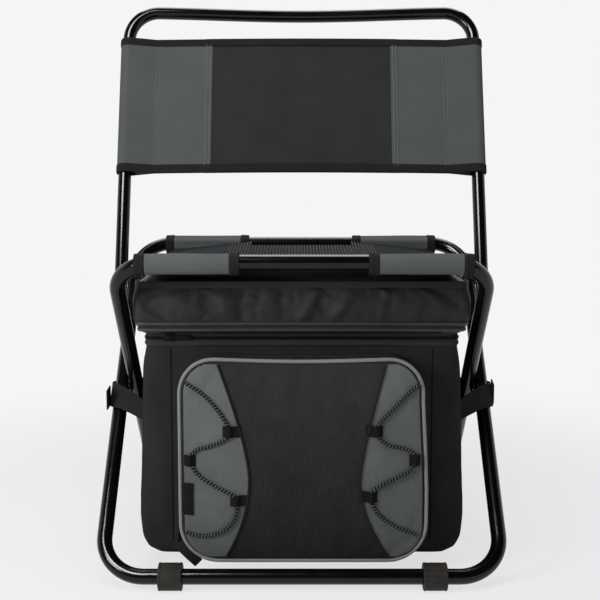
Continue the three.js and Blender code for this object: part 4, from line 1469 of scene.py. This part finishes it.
def makeLidFlap():
    rings = []
    count = len(flapPlan(lidFlap["proud"], 0)) - 2
    for row in range(lidFlap["rows"] + 1):
        share = row / lidFlap["rows"]
        z = lidFlap["low"] + (lidFlap["high"] - lidFlap["low"]) * share
        top = max(0.0, share - lidFlap["tuckAbove"]) / (1 - lidFlap["tuckAbove"])
        proud = lidFlap["proud"] + (lidFlap["tuck"] - lidFlap["proud"]) * top ** 2
        plan = flapPlan(proud, lidFlap["narrow"] * max(0.0, 1 - lidFlap["narrowBelow"] * share))
        rings.append([(tuckedIn(point.x, z), point.y, z) for point in sharedOut(plan, count)])
    piece = loft("lidFrontFlap", rings, around=False)
    points = pointsOf(piece)
    size, depth, stretch = (lidFlap[key] for key in ("creaseSize", "creaseDepth", "creaseStretch"))
    points[:, 1] += [wobble(x * stretch + z, lidFlap["creaseAt"], z, size, depth) for x, y, z in points]
    setPoints(piece, points)
    sewn = (points[:, 2] > lidFlap["high"] - lidFlap["topHeld"]) | (points[:, 2] < lidFlap["ridges"][1])
    pin = np.where(sewn, 1.0, 0.0)
    near, hold = lidFlap["endHeld"]
    aside = np.abs(points[:, 0])
    pin = np.where(aside > aside.max() - near, np.maximum(pin, hold), pin)
    inflate(piece, lidFlap["puff"], pin)
    points = pointsOf(piece)
    points[:, 1] -= [foldAt(x, z, lidFlap["folds"]) * (1 - held) for (x, y, z), held in zip(points, pin)]
    setPoints(piece, points)
    thicken(piece, lidFlap["cloth"], 0)
    refine(piece)
    smooth(piece, 60)
    return settleSoft(piece, "flapBlack", "flap", "black_cloth", "lid_flap")


def makeLidBand():  # the lid's front edge over the flap
    rings = []
    for z in np.linspace(lid["bandLow"], lid["bandHigh"], 5):
        rings.append([(point.x, point.y, z) for point in flapPlan(lidFlap["tuck"] + lid["bandProud"], 0)])
    piece = loft("lidFrontBand", rings, around=False)
    thicken(piece, lidFlap["cloth"], 0)
    smooth(piece, 40)
    settleSoft(piece, "flapBlack", "outer_frame", "black_cloth")


def makeLidRidges():
    for index, height in enumerate(lidFlap["ridges"]):
        plan = flapPlan(lidFlap["proud"] + lidFlap["ridgeProud"], lidFlap["narrow"])
        path = [Vector((tuckedIn(point.x, height), point.y, height)) for point in plan]
        piece = cordAlong(f"lidRidge_{index}", path, lidFlap["ridgeRadius"])
        settleSoft(piece, "ridgeBlack", "flap", "binding")


def toothShape(half):
    half = Vector(half)
    return boxAt("toothShape", -half, half)


def makeLidZip():
    low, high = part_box("lid_zip_band")
    outline = evenRun(planRun(high.x, low.y, high.y, lid["corner"], 8), lidZip["step"])
    heights = np.linspace(lidZip["low"], lidZip["high"], 6)
    rings = [[Vector((point.x, point.y, z)) for point in outline] for z in heights]
    tape = outward(loft("lidZipTape", rings))
    thicken(tape, lidZip["cloth"])
    smooth(tape, 40)
    # the tape uses the lighter black, painted light under the lid's overhang
    settleSoft(tape, "zipBlackPaintedLight", "outer_frame", "binding", "lid_zip_band")
    out = lidZip["toothOut"]
    run = planRun(high.x + out, low.y - out, high.y + out, lid["corner"], 8)
    path = [point + Vector((0, 0, lidZip["toothLow"])) for point in run]
    tooth = toothShape(lidZip["toothHalf"])
    places = []
    for row in (0, 1):
        for place, ahead in alongPath(path, lidZip["tooth"]):
            away = Vector((ahead.y, -ahead.x, 0))
            shift = ahead * (row * lidZip["tooth"] / 2) + Vector((0, 0, row * lidZip["toothSize"] / 2))
            places.append(placing(place + shift, ahead, away))
    teeth = copiesOf("lidZipTeeth", tooth, places)
    bpy.data.objects.remove(tooth)
    settleSoft(teeth, "zipMetal", "outer_frame", "binding")


slider = {"body": (0.0, 0.34), "pull": (0.30, 1.0), "pullShare": 0.62, "soft": 0.0007}


def makeSlider(name, node, body, lengthwise):  # a slider's body with a long pull
    low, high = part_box(node)
    pieces = []
    middle = (low + high) / 2
    for part in ("body", "pull"):
        start, end = slider[part]
        partLow, partHigh = low.copy(), high.copy()
        partLow[lengthwise] = low[lengthwise] + (high[lengthwise] - low[lengthwise]) * start
        partHigh[lengthwise] = low[lengthwise] + (high[lengthwise] - low[lengthwise]) * end
        if part == "pull":
            for axis in range(3):
                if axis != lengthwise:
                    partLow[axis] = middle[axis] + (low[axis] - middle[axis]) * slider["pullShare"]
                    partHigh[axis] = middle[axis] + (high[axis] - middle[axis]) * slider["pullShare"]
        piece = boxAt(name + part, partLow, partHigh)
        applyModifier(piece, "BEVEL", width=slider["soft"], segments=3)
        pieces.append(piece)
    pick(pieces[0])
    pieces[1].select_set(True)
    bpy.ops.object.join()
    pieces[0].name = name
    smooth(pieces[0], 40)
    return settleSoft(pieces[0], "zipMetal", body, "steel", node)


makeLidCap()
makeLidSeam()
makeLidFlap()
makeLidBand()
makeLidRidges()
makeLidZip()
makeSlider("lidZipSlider", "lid_zip_slider", "lid_slider", 0)
print("lid made")

# Front pocket
pocket = {
    "half": 0.1255,
    "low": 0.0245,
    "high": 0.2345,
    "topCorner": 0.036,
    "baseCorner": 0.039,
    "panelCorner": 0.033,
    "sag": 0.0030,
    "leftIn": 0.0017,
    "rightIn": ((0.10, 0.14, 0.19), (0.0016, 0.0, -0.0028)),
    "back": pivot.y - 0.1003,
    "front": pivot.y - 0.1369,
    "piping": 0.0019,
    "pipingY": pivot.y - 0.1395,
    "hinge": 0.0013,
    "hingeBack": 0.0025,
    "hingeUp": 0.0008,
    "hingeHalf": 0.088,
    "panelRows": 52,
    "panelColumns": 60,
    "panelCloth": 0.0034,
    "pitch": 0.004,
    "zipY": pivot.y - 0.1212,
    "gussetCloth": 0.0018,
    "bulge": [(0.0, 0.0008), (0.12, 0.0002), (0.25, 0.0013), (0.42, 0.0016), (0.5, 0.0004), (0.62, 0.0004),
              (0.70, 0.0016), (0.84, 0.0014), (0.95, 0.0), (1.0, -0.0008)],  # share of the depth, how far out
    "welt": ((-0.0005, 0.0), (-0.0042, -0.0006), (-0.0042, 0.0016), (-0.0005, 0.0014)),
    "toothOut": 0.0005,
    "toothPitch": 0.0024,
    "toothHalf": (0.0007, 0.0011, 0.0005),
    "panelSink": 0.0006,
    "rayFrom": -0.6,
    "endRows": 0.35,  # how far the panel's rows close up at both ends
    "puff": {"pressure": 2.2, "frames": 22, "cap": 0.0085, "tension": 12, "bending": 0.5, "slack": 0.008},
}


def leaned(x, z):  # the pocket hangs a little askew
    right = (x / pocket["half"] + 1) / 2
    return x + pocket["leftIn"] * (1 - right) + np.interp(z, *pocket["rightIn"]) * right


def dipped(x, z):  # the pocket's top edge sags in its middle
    share = min(1.0, max(0.0, (z - pocket["low"]) / (pocket["high"] - pocket["low"])))
    return z - pocket["sag"] * share ** 4 * max(0.0, math.cos(math.pi * x / (2 * pocket["half"]))) ** 1.5


def pocketOutline(grow, y):
    wide = pocket["half"] + grow
    low, high = pocket["low"] - grow, pocket["high"] + grow
    middle = (low + high) / 2
    upper = roundedRun([Vector((-wide, y, middle)), Vector((-wide, y, high)), Vector((wide, y, high)),
                        Vector((wide, y, middle))], pocket["topCorner"] + grow, 10)
    lower = roundedRun([Vector((wide, y, middle)), Vector((wide, y, low)), Vector((-wide, y, low)),
                        Vector((-wide, y, middle))], pocket["baseCorner"] + grow, 10)
    run = evenRun(upper + lower[1:], pocket["pitch"])
    return [Vector((leaned(point.x, point.z), point.y, dipped(point.x, point.z))) for point in run]


def makeGusset():
    depth = pocket["front"] - pocket["back"]
    rings = [pocketOutline(grow, pocket["back"] + depth * share) for share, grow in pocket["bulge"]]
    count = min(len(ring) for ring in rings)
    rings = [evenCount(ring, count) for ring in rings]
    piece = outward(loft("pocketGusset", rings))
    thicken(piece, pocket["gussetCloth"])
    refine(piece)
    smooth(piece, 60)
    return settleSoft(piece, "pocketBlack", "outer_frame", "black_cloth", "pocket_gusset")


def evenCount(run, count):  # a closed run shared out over a set number of points
    closed = run + run[:1]
    length = sum((after - before).length for before, after in zip(closed, closed[1:]))
    found = evenRun(closed, length / (count + 0.01))
    return found[:count]


def makePocketTeeth():
    path = pocketOutline(pocket["toothOut"], pocket["zipY"])
    tooth = toothShape(pocket["toothHalf"])
    middle = Vector((0, 0, (pocket["low"] + pocket["high"]) / 2))
    places = []
    for place, ahead in alongPath(path + path[:1], pocket["toothPitch"]):
        out = Vector((-ahead.z, 0, ahead.x))
        away = Vector((place.x, 0, place.z)) - middle
        places.append(placing(place, ahead, out if out.dot(away) > 0 else -out))
    piece = copiesOf("pocketZipTeeth", tooth, places)
    bpy.data.objects.remove(tooth)
    settleSoft(piece, "zipMetal", "outer_frame", "binding")


def panelHalf(z):  # half the width of the rounded front panel at a height
    low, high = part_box("pocket_front")
    corner = pocket["panelCorner"]
    past = max(0.0, z - (high.z - corner), (low.z + corner) - z)
    return high.x - corner + math.sqrt(max(0.0, corner ** 2 - past ** 2))


def makePocketFront():
    low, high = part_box("pocket_front")
    rings = []
    close = pocket["endRows"]
    for turn in np.linspace(0, math.pi, pocket["panelRows"] + 1):
        z = low.z + (high.z - low.z) * (close * (1 - math.cos(turn)) / 2 + (1 - close) * turn / math.pi)
        half = panelHalf(z)
        across = np.linspace(-half, half, pocket["panelColumns"] + 1)
        rings.append([(leaned(x, z), low.y + pocket["panelSink"], dipped(x, z)) for x in across])
    piece = loft("pocketFront", rings, around=False)
    pin = np.zeros((pocket["panelRows"] + 1, pocket["panelColumns"] + 1))
    pin[[0, -1]] = 1.0
    pin[:, [0, -1]] = 1.0
    inflate(piece, pocket["puff"], pin.ravel())
    refine(piece)
    thicken(piece, pocket["panelCloth"])
    smooth(piece, 60)
    return settleSoft(piece, "pocketBlack", "pocket_panel", "black_cloth", "pocket_front")


def makePiping():
    piece = cordAlong("pocketPiping", pocketOutline(0, pocket["pipingY"]), pocket["piping"], 14, True)
    settleSoft(piece, "pipingGrey", "pocket_panel", "piping", "pocket_piping")
    flange = [pocketOutline(grow, pocket["pipingY"] + depth) for grow, depth in pocket["welt"]]
    flange = [evenCount(ring, len(flange[1])) for ring in flange]
    welt = outward(loft("pocketWelt", flange, along=True))
    smooth(welt, 50)
    settleSoft(welt, "pocketBlack", "pocket_panel", "black_cloth")


def makePocketHinge():  # a sewn fold that joins the panel to the gusset
    y, z = pocket["pipingY"] + pocket["hingeBack"], pocket["low"] + pocket["hingeUp"]
    path = [Vector((x, y, z)) for x in np.linspace(-pocket["hingeHalf"], pocket["hingeHalf"], 40)]
    piece = cordAlong("pocketHinge", path, pocket["hinge"], 12)
    settleSoft(piece, "pocketBlack", "outer_frame", "black_cloth")


def surfaceOf(*pieces):
    trees = []
    for piece in pieces:
        points = [tuple(point) for point in pointsOf(piece)]
        trees.append(BVHTree.FromPolygons(points, [tuple(face.vertices) for face in piece.data.polygons]))

    def frontAt(x, z):
        found = [tree.ray_cast(Vector((x, pocket["rayFrom"], z)), Vector((0, 1, 0)))[0] for tree in trees]
        hits = [place.y for place in found if place is not None]
        return min(hits) if hits else pocket["pipingY"]

    return frontAt


def makeBagSeams():
    bagAt = surfaceOf(bagShell)
    for letter, side in sides.items():
        x = side * bag["seamX"]
        sink = bag["seamRadius"] * bag["seamSink"]
        path = [Vector((x, bagAt(x, z) + sink, z)) for z in np.linspace(*bag["seamRun"], 80)]
        piece = cordAlong("bagSeam_" + letter, path, bag["seamRadius"], 8)
        settleSoft(piece, "seamBlack", "outer_frame", "black_cloth")


makeBagSeams()
makeGusset()
makePocketTeeth()
pocketFront = makePocketFront()
makePiping()
makePocketHinge()
panelAt = surfaceOf(pocketFront)

crescent = {
    "proud": 0.0004,
    "cloth": 0.0009,
    "rows": 72,
    "columns": 18,
    "edge": 0.0016,
    "least": 0.001,
    "ends": 0.002,
    "fold": 0.0005,
    "trim": 0.0011,
    "l": {"neck": 0.0532, "neckHeight": 0.1140, "top": 0.0855, "base": 0.0787, "topCurve": 1.45,
          "baseCurve": 2.0},
    "r": {"neck": 0.0588, "neckHeight": 0.1099, "top": 0.0853, "base": 0.0900, "topCurve": 1.35,
          "baseCurve": 1.8},
}


def crescentSpan(z, cut):  # the inner curve and the panel's rounded outer edge at a height
    low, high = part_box("pocket_front")
    above = max(0.0, z - cut["neckHeight"]) / (high.z - cut["neckHeight"])
    below = max(0.0, cut["neckHeight"] - z) / (cut["neckHeight"] - low.z)
    inner = cut["neck"] + (cut["top"] - cut["neck"]) * above ** cut["topCurve"]
    inner += (cut["base"] - cut["neck"]) * below ** cut["baseCurve"]
    return inner, max(panelHalf(z) - crescent["edge"], inner + crescent["least"])


def makeCrescent(letter, side):
    low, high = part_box("pocket_front")
    rings = []
    arc = []
    for row in range(crescent["rows"] + 1):
        ends = crescent["ends"]
        z = low.z + ends + (high.z - low.z - 2 * ends) * row / crescent["rows"]
        inner, outer = crescentSpan(z, crescent[letter])
        ring = []
        for column in range(crescent["columns"] + 1):
            share = column / crescent["columns"]
            x = side * inner * (1 - share) + leaned(side * outer, z) * share
            dip = dipped(x, z)
            fold = crescent["fold"] if column == 0 else 0.0
            ring.append(Vector((x, panelAt(x, dip) - crescent["proud"] - fold, dip)))
        rings.append(ring)
        arc.append(ring[0])
    piece = loft("crescent_" + letter, rings, around=False)
    thicken(piece, crescent["cloth"], -side)
    outward(piece)
    smooth(piece, 60)
    settleSoft(piece, "crescentGrey", "pocket_panel", "grey_cloth", "pocket_crescent_" + letter)
    trim = [point - Vector((0, crescent["fold"], 0)) for point in arc]
    edge = cordAlong("crescentEdge_" + letter, trim, crescent["trim"], 10)
    settleSoft(edge, "tapeBlack", "pocket_panel", "binding")
    return piece


crescents = [makeCrescent(letter, side) for letter, side in sides.items()]
frontAt = surfaceOf(pocketFront, *crescents)

lace = {
    "radius": 0.0019,
    "gap": 0.0001,
    "easing": 3,
    "l": [(-118, 211), (-98, 198), (-84, 183), (-76, 171), (-73, 162), (-77, 154), (-92, 147), (-105, 143),
          (-112, 137), (-113.5, 131), (-110, 123), (-102, 114), (-87, 105), (-74, 99), (-66.5, 94),
          (-65.5, 89), (-66, 78), (-71, 67), (-81, 58), (-95, 53), (-109, 53), (-118, 56)],
    "r": [(118, 209), (106, 199), (90, 183), (78, 171), (75, 162.5), (79, 154), (88, 147.5), (101, 144.5),
          (112, 139), (115, 131.5), (110, 122), (98, 115), (84, 109), (74, 103), (70, 95), (72.5, 84),
          (82, 72), (99, 61), (118, 53)],
}
tab = {
    "height": 0.0114,
    "cloth": 0.0009,
    "soft": 0.0002,
    "heel": 0.0035,
    "heelLift": 0.0003,
    "loopLift": 0.0004,
    "neck": (0.001, 0.0012),
    "tailLift": (0.0009, 0.0006),
    "sameFace": 0.004,
    "shares": (-0.5, -0.44, 0, 0.44, 0.5),
    "l": [(-73, 162, 1, 0.0092), (-113.5, 131, -1, 0.0027), (-66, 91, 1, 0.0088)],
    "r": [(75, 162.5, -1, 0.0080), (115.0, 131.5, 1, 0.0022), (70, 95, -1, 0.0088)],
}


def makeLace(letter):
    flat = spline([Vector((x / 1000, 0, z / 1000)) for x, z in lace[letter]], 8)
    lift = lace["radius"] + lace["gap"]
    path = [Vector((point.x, frontAt(point.x, point.z) - lift, point.z)) for point in flat]
    depths = np.array([point.y for point in path])
    for step in range(lace["easing"]):
        depths[1:-1] = np.minimum(depths[1:-1], (depths[:-2] + depths[1:-1] + depths[2:]) / 3)
    for point, depth in zip(path, depths):
        point.y = depth
    piece = cordAlong("lace_" + letter, path, lace["radius"], 12)
    return settleSoft(piece, "laceCord", "pocket_panel", "cord", "pocket_cord_" + letter)


def makeTab(name, x, z, tail, length, node):  # webbing doubled over the cord, its end sewn flat
    x, z = x / 1000, z / 1000
    base = frontAt(x, z)
    reach = lace["radius"] + tab["cloth"]
    run = [(-reach - tab["heel"], tab["heelLift"])]
    for turn in np.linspace(math.pi, 0, 11):
        run.append((math.cos(turn) * reach, tab["loopLift"] + lace["radius"] + math.sin(turn) * reach))
    neck, neckLift = tab["neck"]
    middleLift, endLift = tab["tailLift"]
    run += [(reach + neck, neckLift), (reach + length / 2, middleLift), (reach + length, endLift)]
    rings = []
    for offset, lift in run:
        atX = x + tail * offset
        face = frontAt(atX, z)
        ground = base
        if abs(offset) > reach and abs(face - base) < tab["sameFace"]:
            ground = min(base, face)
        rings.append([Vector((atX, ground - lift, z + tab["height"] * share)) for share in tab["shares"]])
    piece = loft(name, rings, around=False)
    webbing(piece, tab["cloth"], tab["soft"])
    return settleSoft(piece, "tabBlack", "pocket_panel", "binding", node)


for letter in sides:
    makeLace(letter)
    for index, (x, z, tail, length) in enumerate(tab[letter]):
        makeTab(f"cordTab_{letter}{index + 1}", x, z, tail, length, f"cord_tab_{letter}{index + 1}")
makeSlider("pocketZipSlider", "pocket_zip_slider", "pocket_slider", 2)

label = {"left": -0.1204, "wide": 0.0104, "low": 0.0745, "high": 0.1072, "cloth": 0.0007, "proud": 0.0012,
         "bow": 0.0008}


def makeLabel():  # a plain folded tab sewn into the seam
    rings = []
    for share in np.linspace(0, 1, 6):
        x = label["left"] + label["wide"] * share
        lift = label["proud"] + label["bow"] * math.sin(math.pi * share)
        heights = np.linspace(label["low"], label["high"], 10)
        rings.append([Vector((x, frontAt(x, z) - lift, z)) for z in heights])
    piece = loft("pocketTab", rings, around=False)
    thicken(piece, label["cloth"], 0)
    outward(piece)
    smooth(piece, 50)
    settleSoft(piece, "tabBlack", "pocket_panel", "binding")


makeLabel()
zipTail = {"from": (-0.1275, 0.0400), "to": (-0.1065, 0.0190), "wide": 0.0105, "cloth": 0.0018,
           "y": pivot.y - 0.1319, "bow": 0.0016, "soft": 0.0003,
           "shares": (-0.5, -0.25, 0, 0.25, 0.5)}


def makeZipTail():
    start = Vector((zipTail["from"][0], zipTail["y"], zipTail["from"][1]))
    end = Vector((zipTail["to"][0], zipTail["y"], zipTail["to"][1]))
    ahead = (end - start).normalized()
    across = Vector((0, 1, 0)).cross(ahead)
    rings = []
    for share in np.linspace(0, 1, 8):
        middle = start.lerp(end, share) + Vector((0, -zipTail["bow"] * math.sin(math.pi * share), 0))
        rings.append([middle + across * (zipTail["wide"] * part) for part in zipTail["shares"]])
    piece = loft("pocketZipTail", rings, around=False)
    webbing(piece, zipTail["cloth"], zipTail["soft"])
    settleSoft(piece, "tapeBlack", "outer_frame", "binding", "pocket_zip_tail")


makeZipTail()
print("pocket made")

# Side straps, drawn tight round the crossing of the legs and sewn to the bag
strap = {
    "height": 0.0225,
    "middle": 0.1712,
    "wall": 0.1732,
    "front": -0.050,  # where it meets the bag's side, from the pivots
    "rear": 0.047,
    "drop": 0.0095,
    "roundOuter": (0.0110, 0.0126),
    "roundInner": (0.0094, 0.0126),
    "cloth": 0.0016,
    "soft": 0.0003,
    "steps": 64,
    "wallSteps": 12,
    "tailHeight": 0.0215,
    "foldKeep": 0.32,
    "tails": {"l": ((0.2168, -0.009, 0.1702), (0.2161, -0.033, 0.1690)),
              "r": ((0.2168, -0.012, 0.1716), (0.2196, 0.017, 0.1728))},
    "shares": (-0.5, -0.46, -0.25, 0, 0.25, 0.46, 0.5),
}


def tightRound(points):  # a taut outline in plan, from the first point to the last
    def half(run):
        kept = []
        for point in run:
            while len(kept) > 1 and np.cross(kept[-1] - kept[-2], point - kept[-1]) <= 0:
                kept.pop()
            kept.append(point)
        return kept[:-1]

    ordered = [np.array(point) for point in sorted(points)]
    return half(ordered) + half(ordered[::-1])


def strapRing(share, side):  # round both legs and back along the bag's side
    z = strap["middle"] + strap["height"] * share
    lean = (z - pivot.z) * math.tan(legAngle)
    corners = [(strap["wall"], strap["front"]), (strap["wall"], strap["rear"])]
    turns = np.linspace(0, 2 * math.pi, 49)
    tubes = ((outerHalf, lean, strap["roundOuter"]), (innerHalf, -lean, strap["roundInner"]))
    for x, y, (wide, deep) in tubes:
        corners += [(x + wide * math.cos(turn), y + deep * math.sin(turn)) for turn in turns]
    around = sharedOut([Vector((x, y, 0)) for x, y in tightRound(corners)], strap["steps"])
    around += sharedOut([around[-1], around[0]], strap["wallSteps"])[1:-1]
    ring = []
    for point in around:
        towardsBag = min(1.0, max(0.0, (outerHalf - point.x) / (outerHalf - strap["wall"])))
        towardsFront = (strap["rear"] - point.y) / (strap["rear"] - strap["front"])
        drop = strap["drop"] * towardsBag * towardsFront
        ring.append(Vector((side * point.x, pivot.y + point.y, z - drop)))
    return ring


def makeStrap(letter, side):
    piece = loft("sideStrap_" + letter, [strapRing(share, side) for share in strap["shares"]])
    webbing(piece, strap["cloth"], strap["soft"])
    settle(piece, "tapeBlack", "outer_frame", "binding", "side_strap_" + letter)
    foldFlat(piece)
    start, end = [Vector((side * x, pivot.y + y, z)) for x, y, z in strap["tails"][letter]]
    tailRings = []
    for place in sharedOut([start, end], 8):
        tailRings.append([place + Vector((0, 0, strap["tailHeight"] * share)) for share in strap["shares"]])
    tail = loft("strapTail_" + letter, tailRings, around=False)
    webbing(tail, strap["cloth"], strap["soft"])
    settle(tail, "tapeBlack", "outer_frame", "binding")
    foldFlat(tail)


for letter, side in sides.items():
    makeStrap(letter, side)
print("straps made")

# Camera, floor and light, from the photograph's viewing angle
view = {
    "ahead": 1.2,  # in front of the leg pivots
    "sideways": -0.0018,
    "height": 0.418,
    "pitchDown": 6.68,
    "lens": 64.16,
    "lampAim": 0.3,
    "floorSize": 40.0,
    "floorColour": (0.75, 0.75, 0.75, 1),
    "floorGlow": {"From Min": 0.3, "From Max": 1.0, "To Min": 0.76, "To Max": 1.0},
    "background": (0.914, 0.914, 0.914, 1),
    "skyColour": (0.98, 0.985, 1.0, 1),
    "skyStrength": 0.42,
    "roomBack": {"From Min": -0.3, "From Max": 0.2, "To Min": 0.03, "To Max": 1.0},
    "roomAbove": {"From Min": 0.35, "From Max": 0.75, "To Min": 1.0, "To Max": 0.03},
}
lamps = {  # place from the pivots, size, power, whether gloss shows it, whether it lights what is matt
    "keyLamp": ((-0.8, -0.8, 0.6), 0.36, 7.6, True, True),
    "topLamp": ((-0.1, -0.45, 1.9), 1.2, 10.4, False, True),
    "backLamp": ((0.0, 0.75, 1.75), 1.5, 40.0, True, False),
    "sideLamp": ((-0.75, -1.2, 1.7), 0.8, 56.0, True, False),
}
soft = {"interpolation_type": "SMOOTHSTEP"}


def addLamp(name, place, size, power, glossy, diffuse):
    bpy.ops.object.light_add(type="AREA", location=(place[0], pivot.y + place[1], place[2]))
    lamp = bpy.context.object
    lamp.name = name
    lamp.data.energy = power
    lamp.data.size = size
    lamp.visible_camera = False
    lamp.visible_glossy = glossy
    lamp.visible_diffuse = diffuse
    towards = Vector((0, pivot.y, view["lampAim"])) - lamp.location
    lamp.rotation_euler = towards.to_track_quat("-Z", "Y").to_euler()


def seenDirectly(tree):
    path = tree.make("ShaderNodeLightPath", None, None, "Is Camera Ray")
    return path + path.twin("Is Glossy Ray") + path.twin("Is Transmission Ray")


def makeFloor():
    bpy.ops.mesh.primitive_plane_add(size=view["floorSize"])
    floor = bpy.context.object
    floor.name = "floor"
    finish = newFinish("paleFloor", {"Roughness": 0.95, "Specular IOR Level": 0.0})
    finish.shader.inputs["Base Color"].default_value = view["floorColour"]
    place = finish.place()
    away = finish.make("ShaderNodeVectorMath", {"operation": "LENGTH"}, {0: place}, "Value")
    far = finish.make("ShaderNodeMapRange", soft, {"Value": away, **view["floorGlow"]})
    plain = Wire(finish, finish.shader.outputs[0])
    glow = finish.make("ShaderNodeEmission", None, {"Color": view["background"], "Strength": 1.0})
    both = finish.make("ShaderNodeMixShader", None, {0: seenDirectly(finish) * far, 1: plain, 2: glow})
    finish.tree.links.new(both.socket, finish.tree.nodes["Material Output"].inputs["Surface"])
    floor.data.materials.append(finish.owner)


def makeWorld():
    world = bpy.data.worlds.new("studio")
    bpy.context.scene.world = world
    sky = Finish(world)
    sky.tree.nodes.clear()
    ambient = {"Color": view["skyColour"], "Strength": view["skyStrength"]}
    ambient = sky.make("ShaderNodeBackground", None, ambient)
    way = sky.make("ShaderNodeSeparateXYZ", None, {0: sky.place("Generated")})
    back = sky.make("ShaderNodeMapRange", soft, {"Value": way.twin("Y"), **view["roomBack"]})
    above = sky.make("ShaderNodeMapRange", soft, {"Value": way.twin("Z"), **view["roomAbove"]})
    room = back * above
    camera = sky.make("ShaderNodeLightPath", None, None, "Is Camera Ray")
    gloss = room + camera * (1 - room)
    white = sky.make("ShaderNodeBackground", None, {"Color": view["background"], "Strength": gloss})
    both = sky.make("ShaderNodeMixShader", None, {0: seenDirectly(sky), 1: ambient, 2: white})
    output = sky.tree.nodes.new("ShaderNodeOutputWorld")
    sky.tree.links.new(both.socket, output.inputs["Surface"])


def makeCamera():
    bpy.ops.object.camera_add(location=(view["sideways"], pivot.y - view["ahead"], view["height"]))
    camera = bpy.context.object
    camera.rotation_euler = (math.radians(90 - view["pitchDown"]), 0, 0)
    camera.data.lens = view["lens"]
    camera.data.sensor_width = 36
    bpy.context.scene.camera = camera
    bpy.context.scene.view_settings.view_transform = "Standard"


makeFloor()
makeWorld()
for name, settings in lamps.items():
    addLamp(name, *settings)
steel = bpy.data.collections.new("steel")
for name in ("backrestTube", "outerLoop", "innerLoop"):
    steel.objects.link(bpy.data.objects[name])
bpy.data.objects["sideLamp"].light_linking.receiver_collection = steel  # a highlight down the painted tubes
makeCamera()
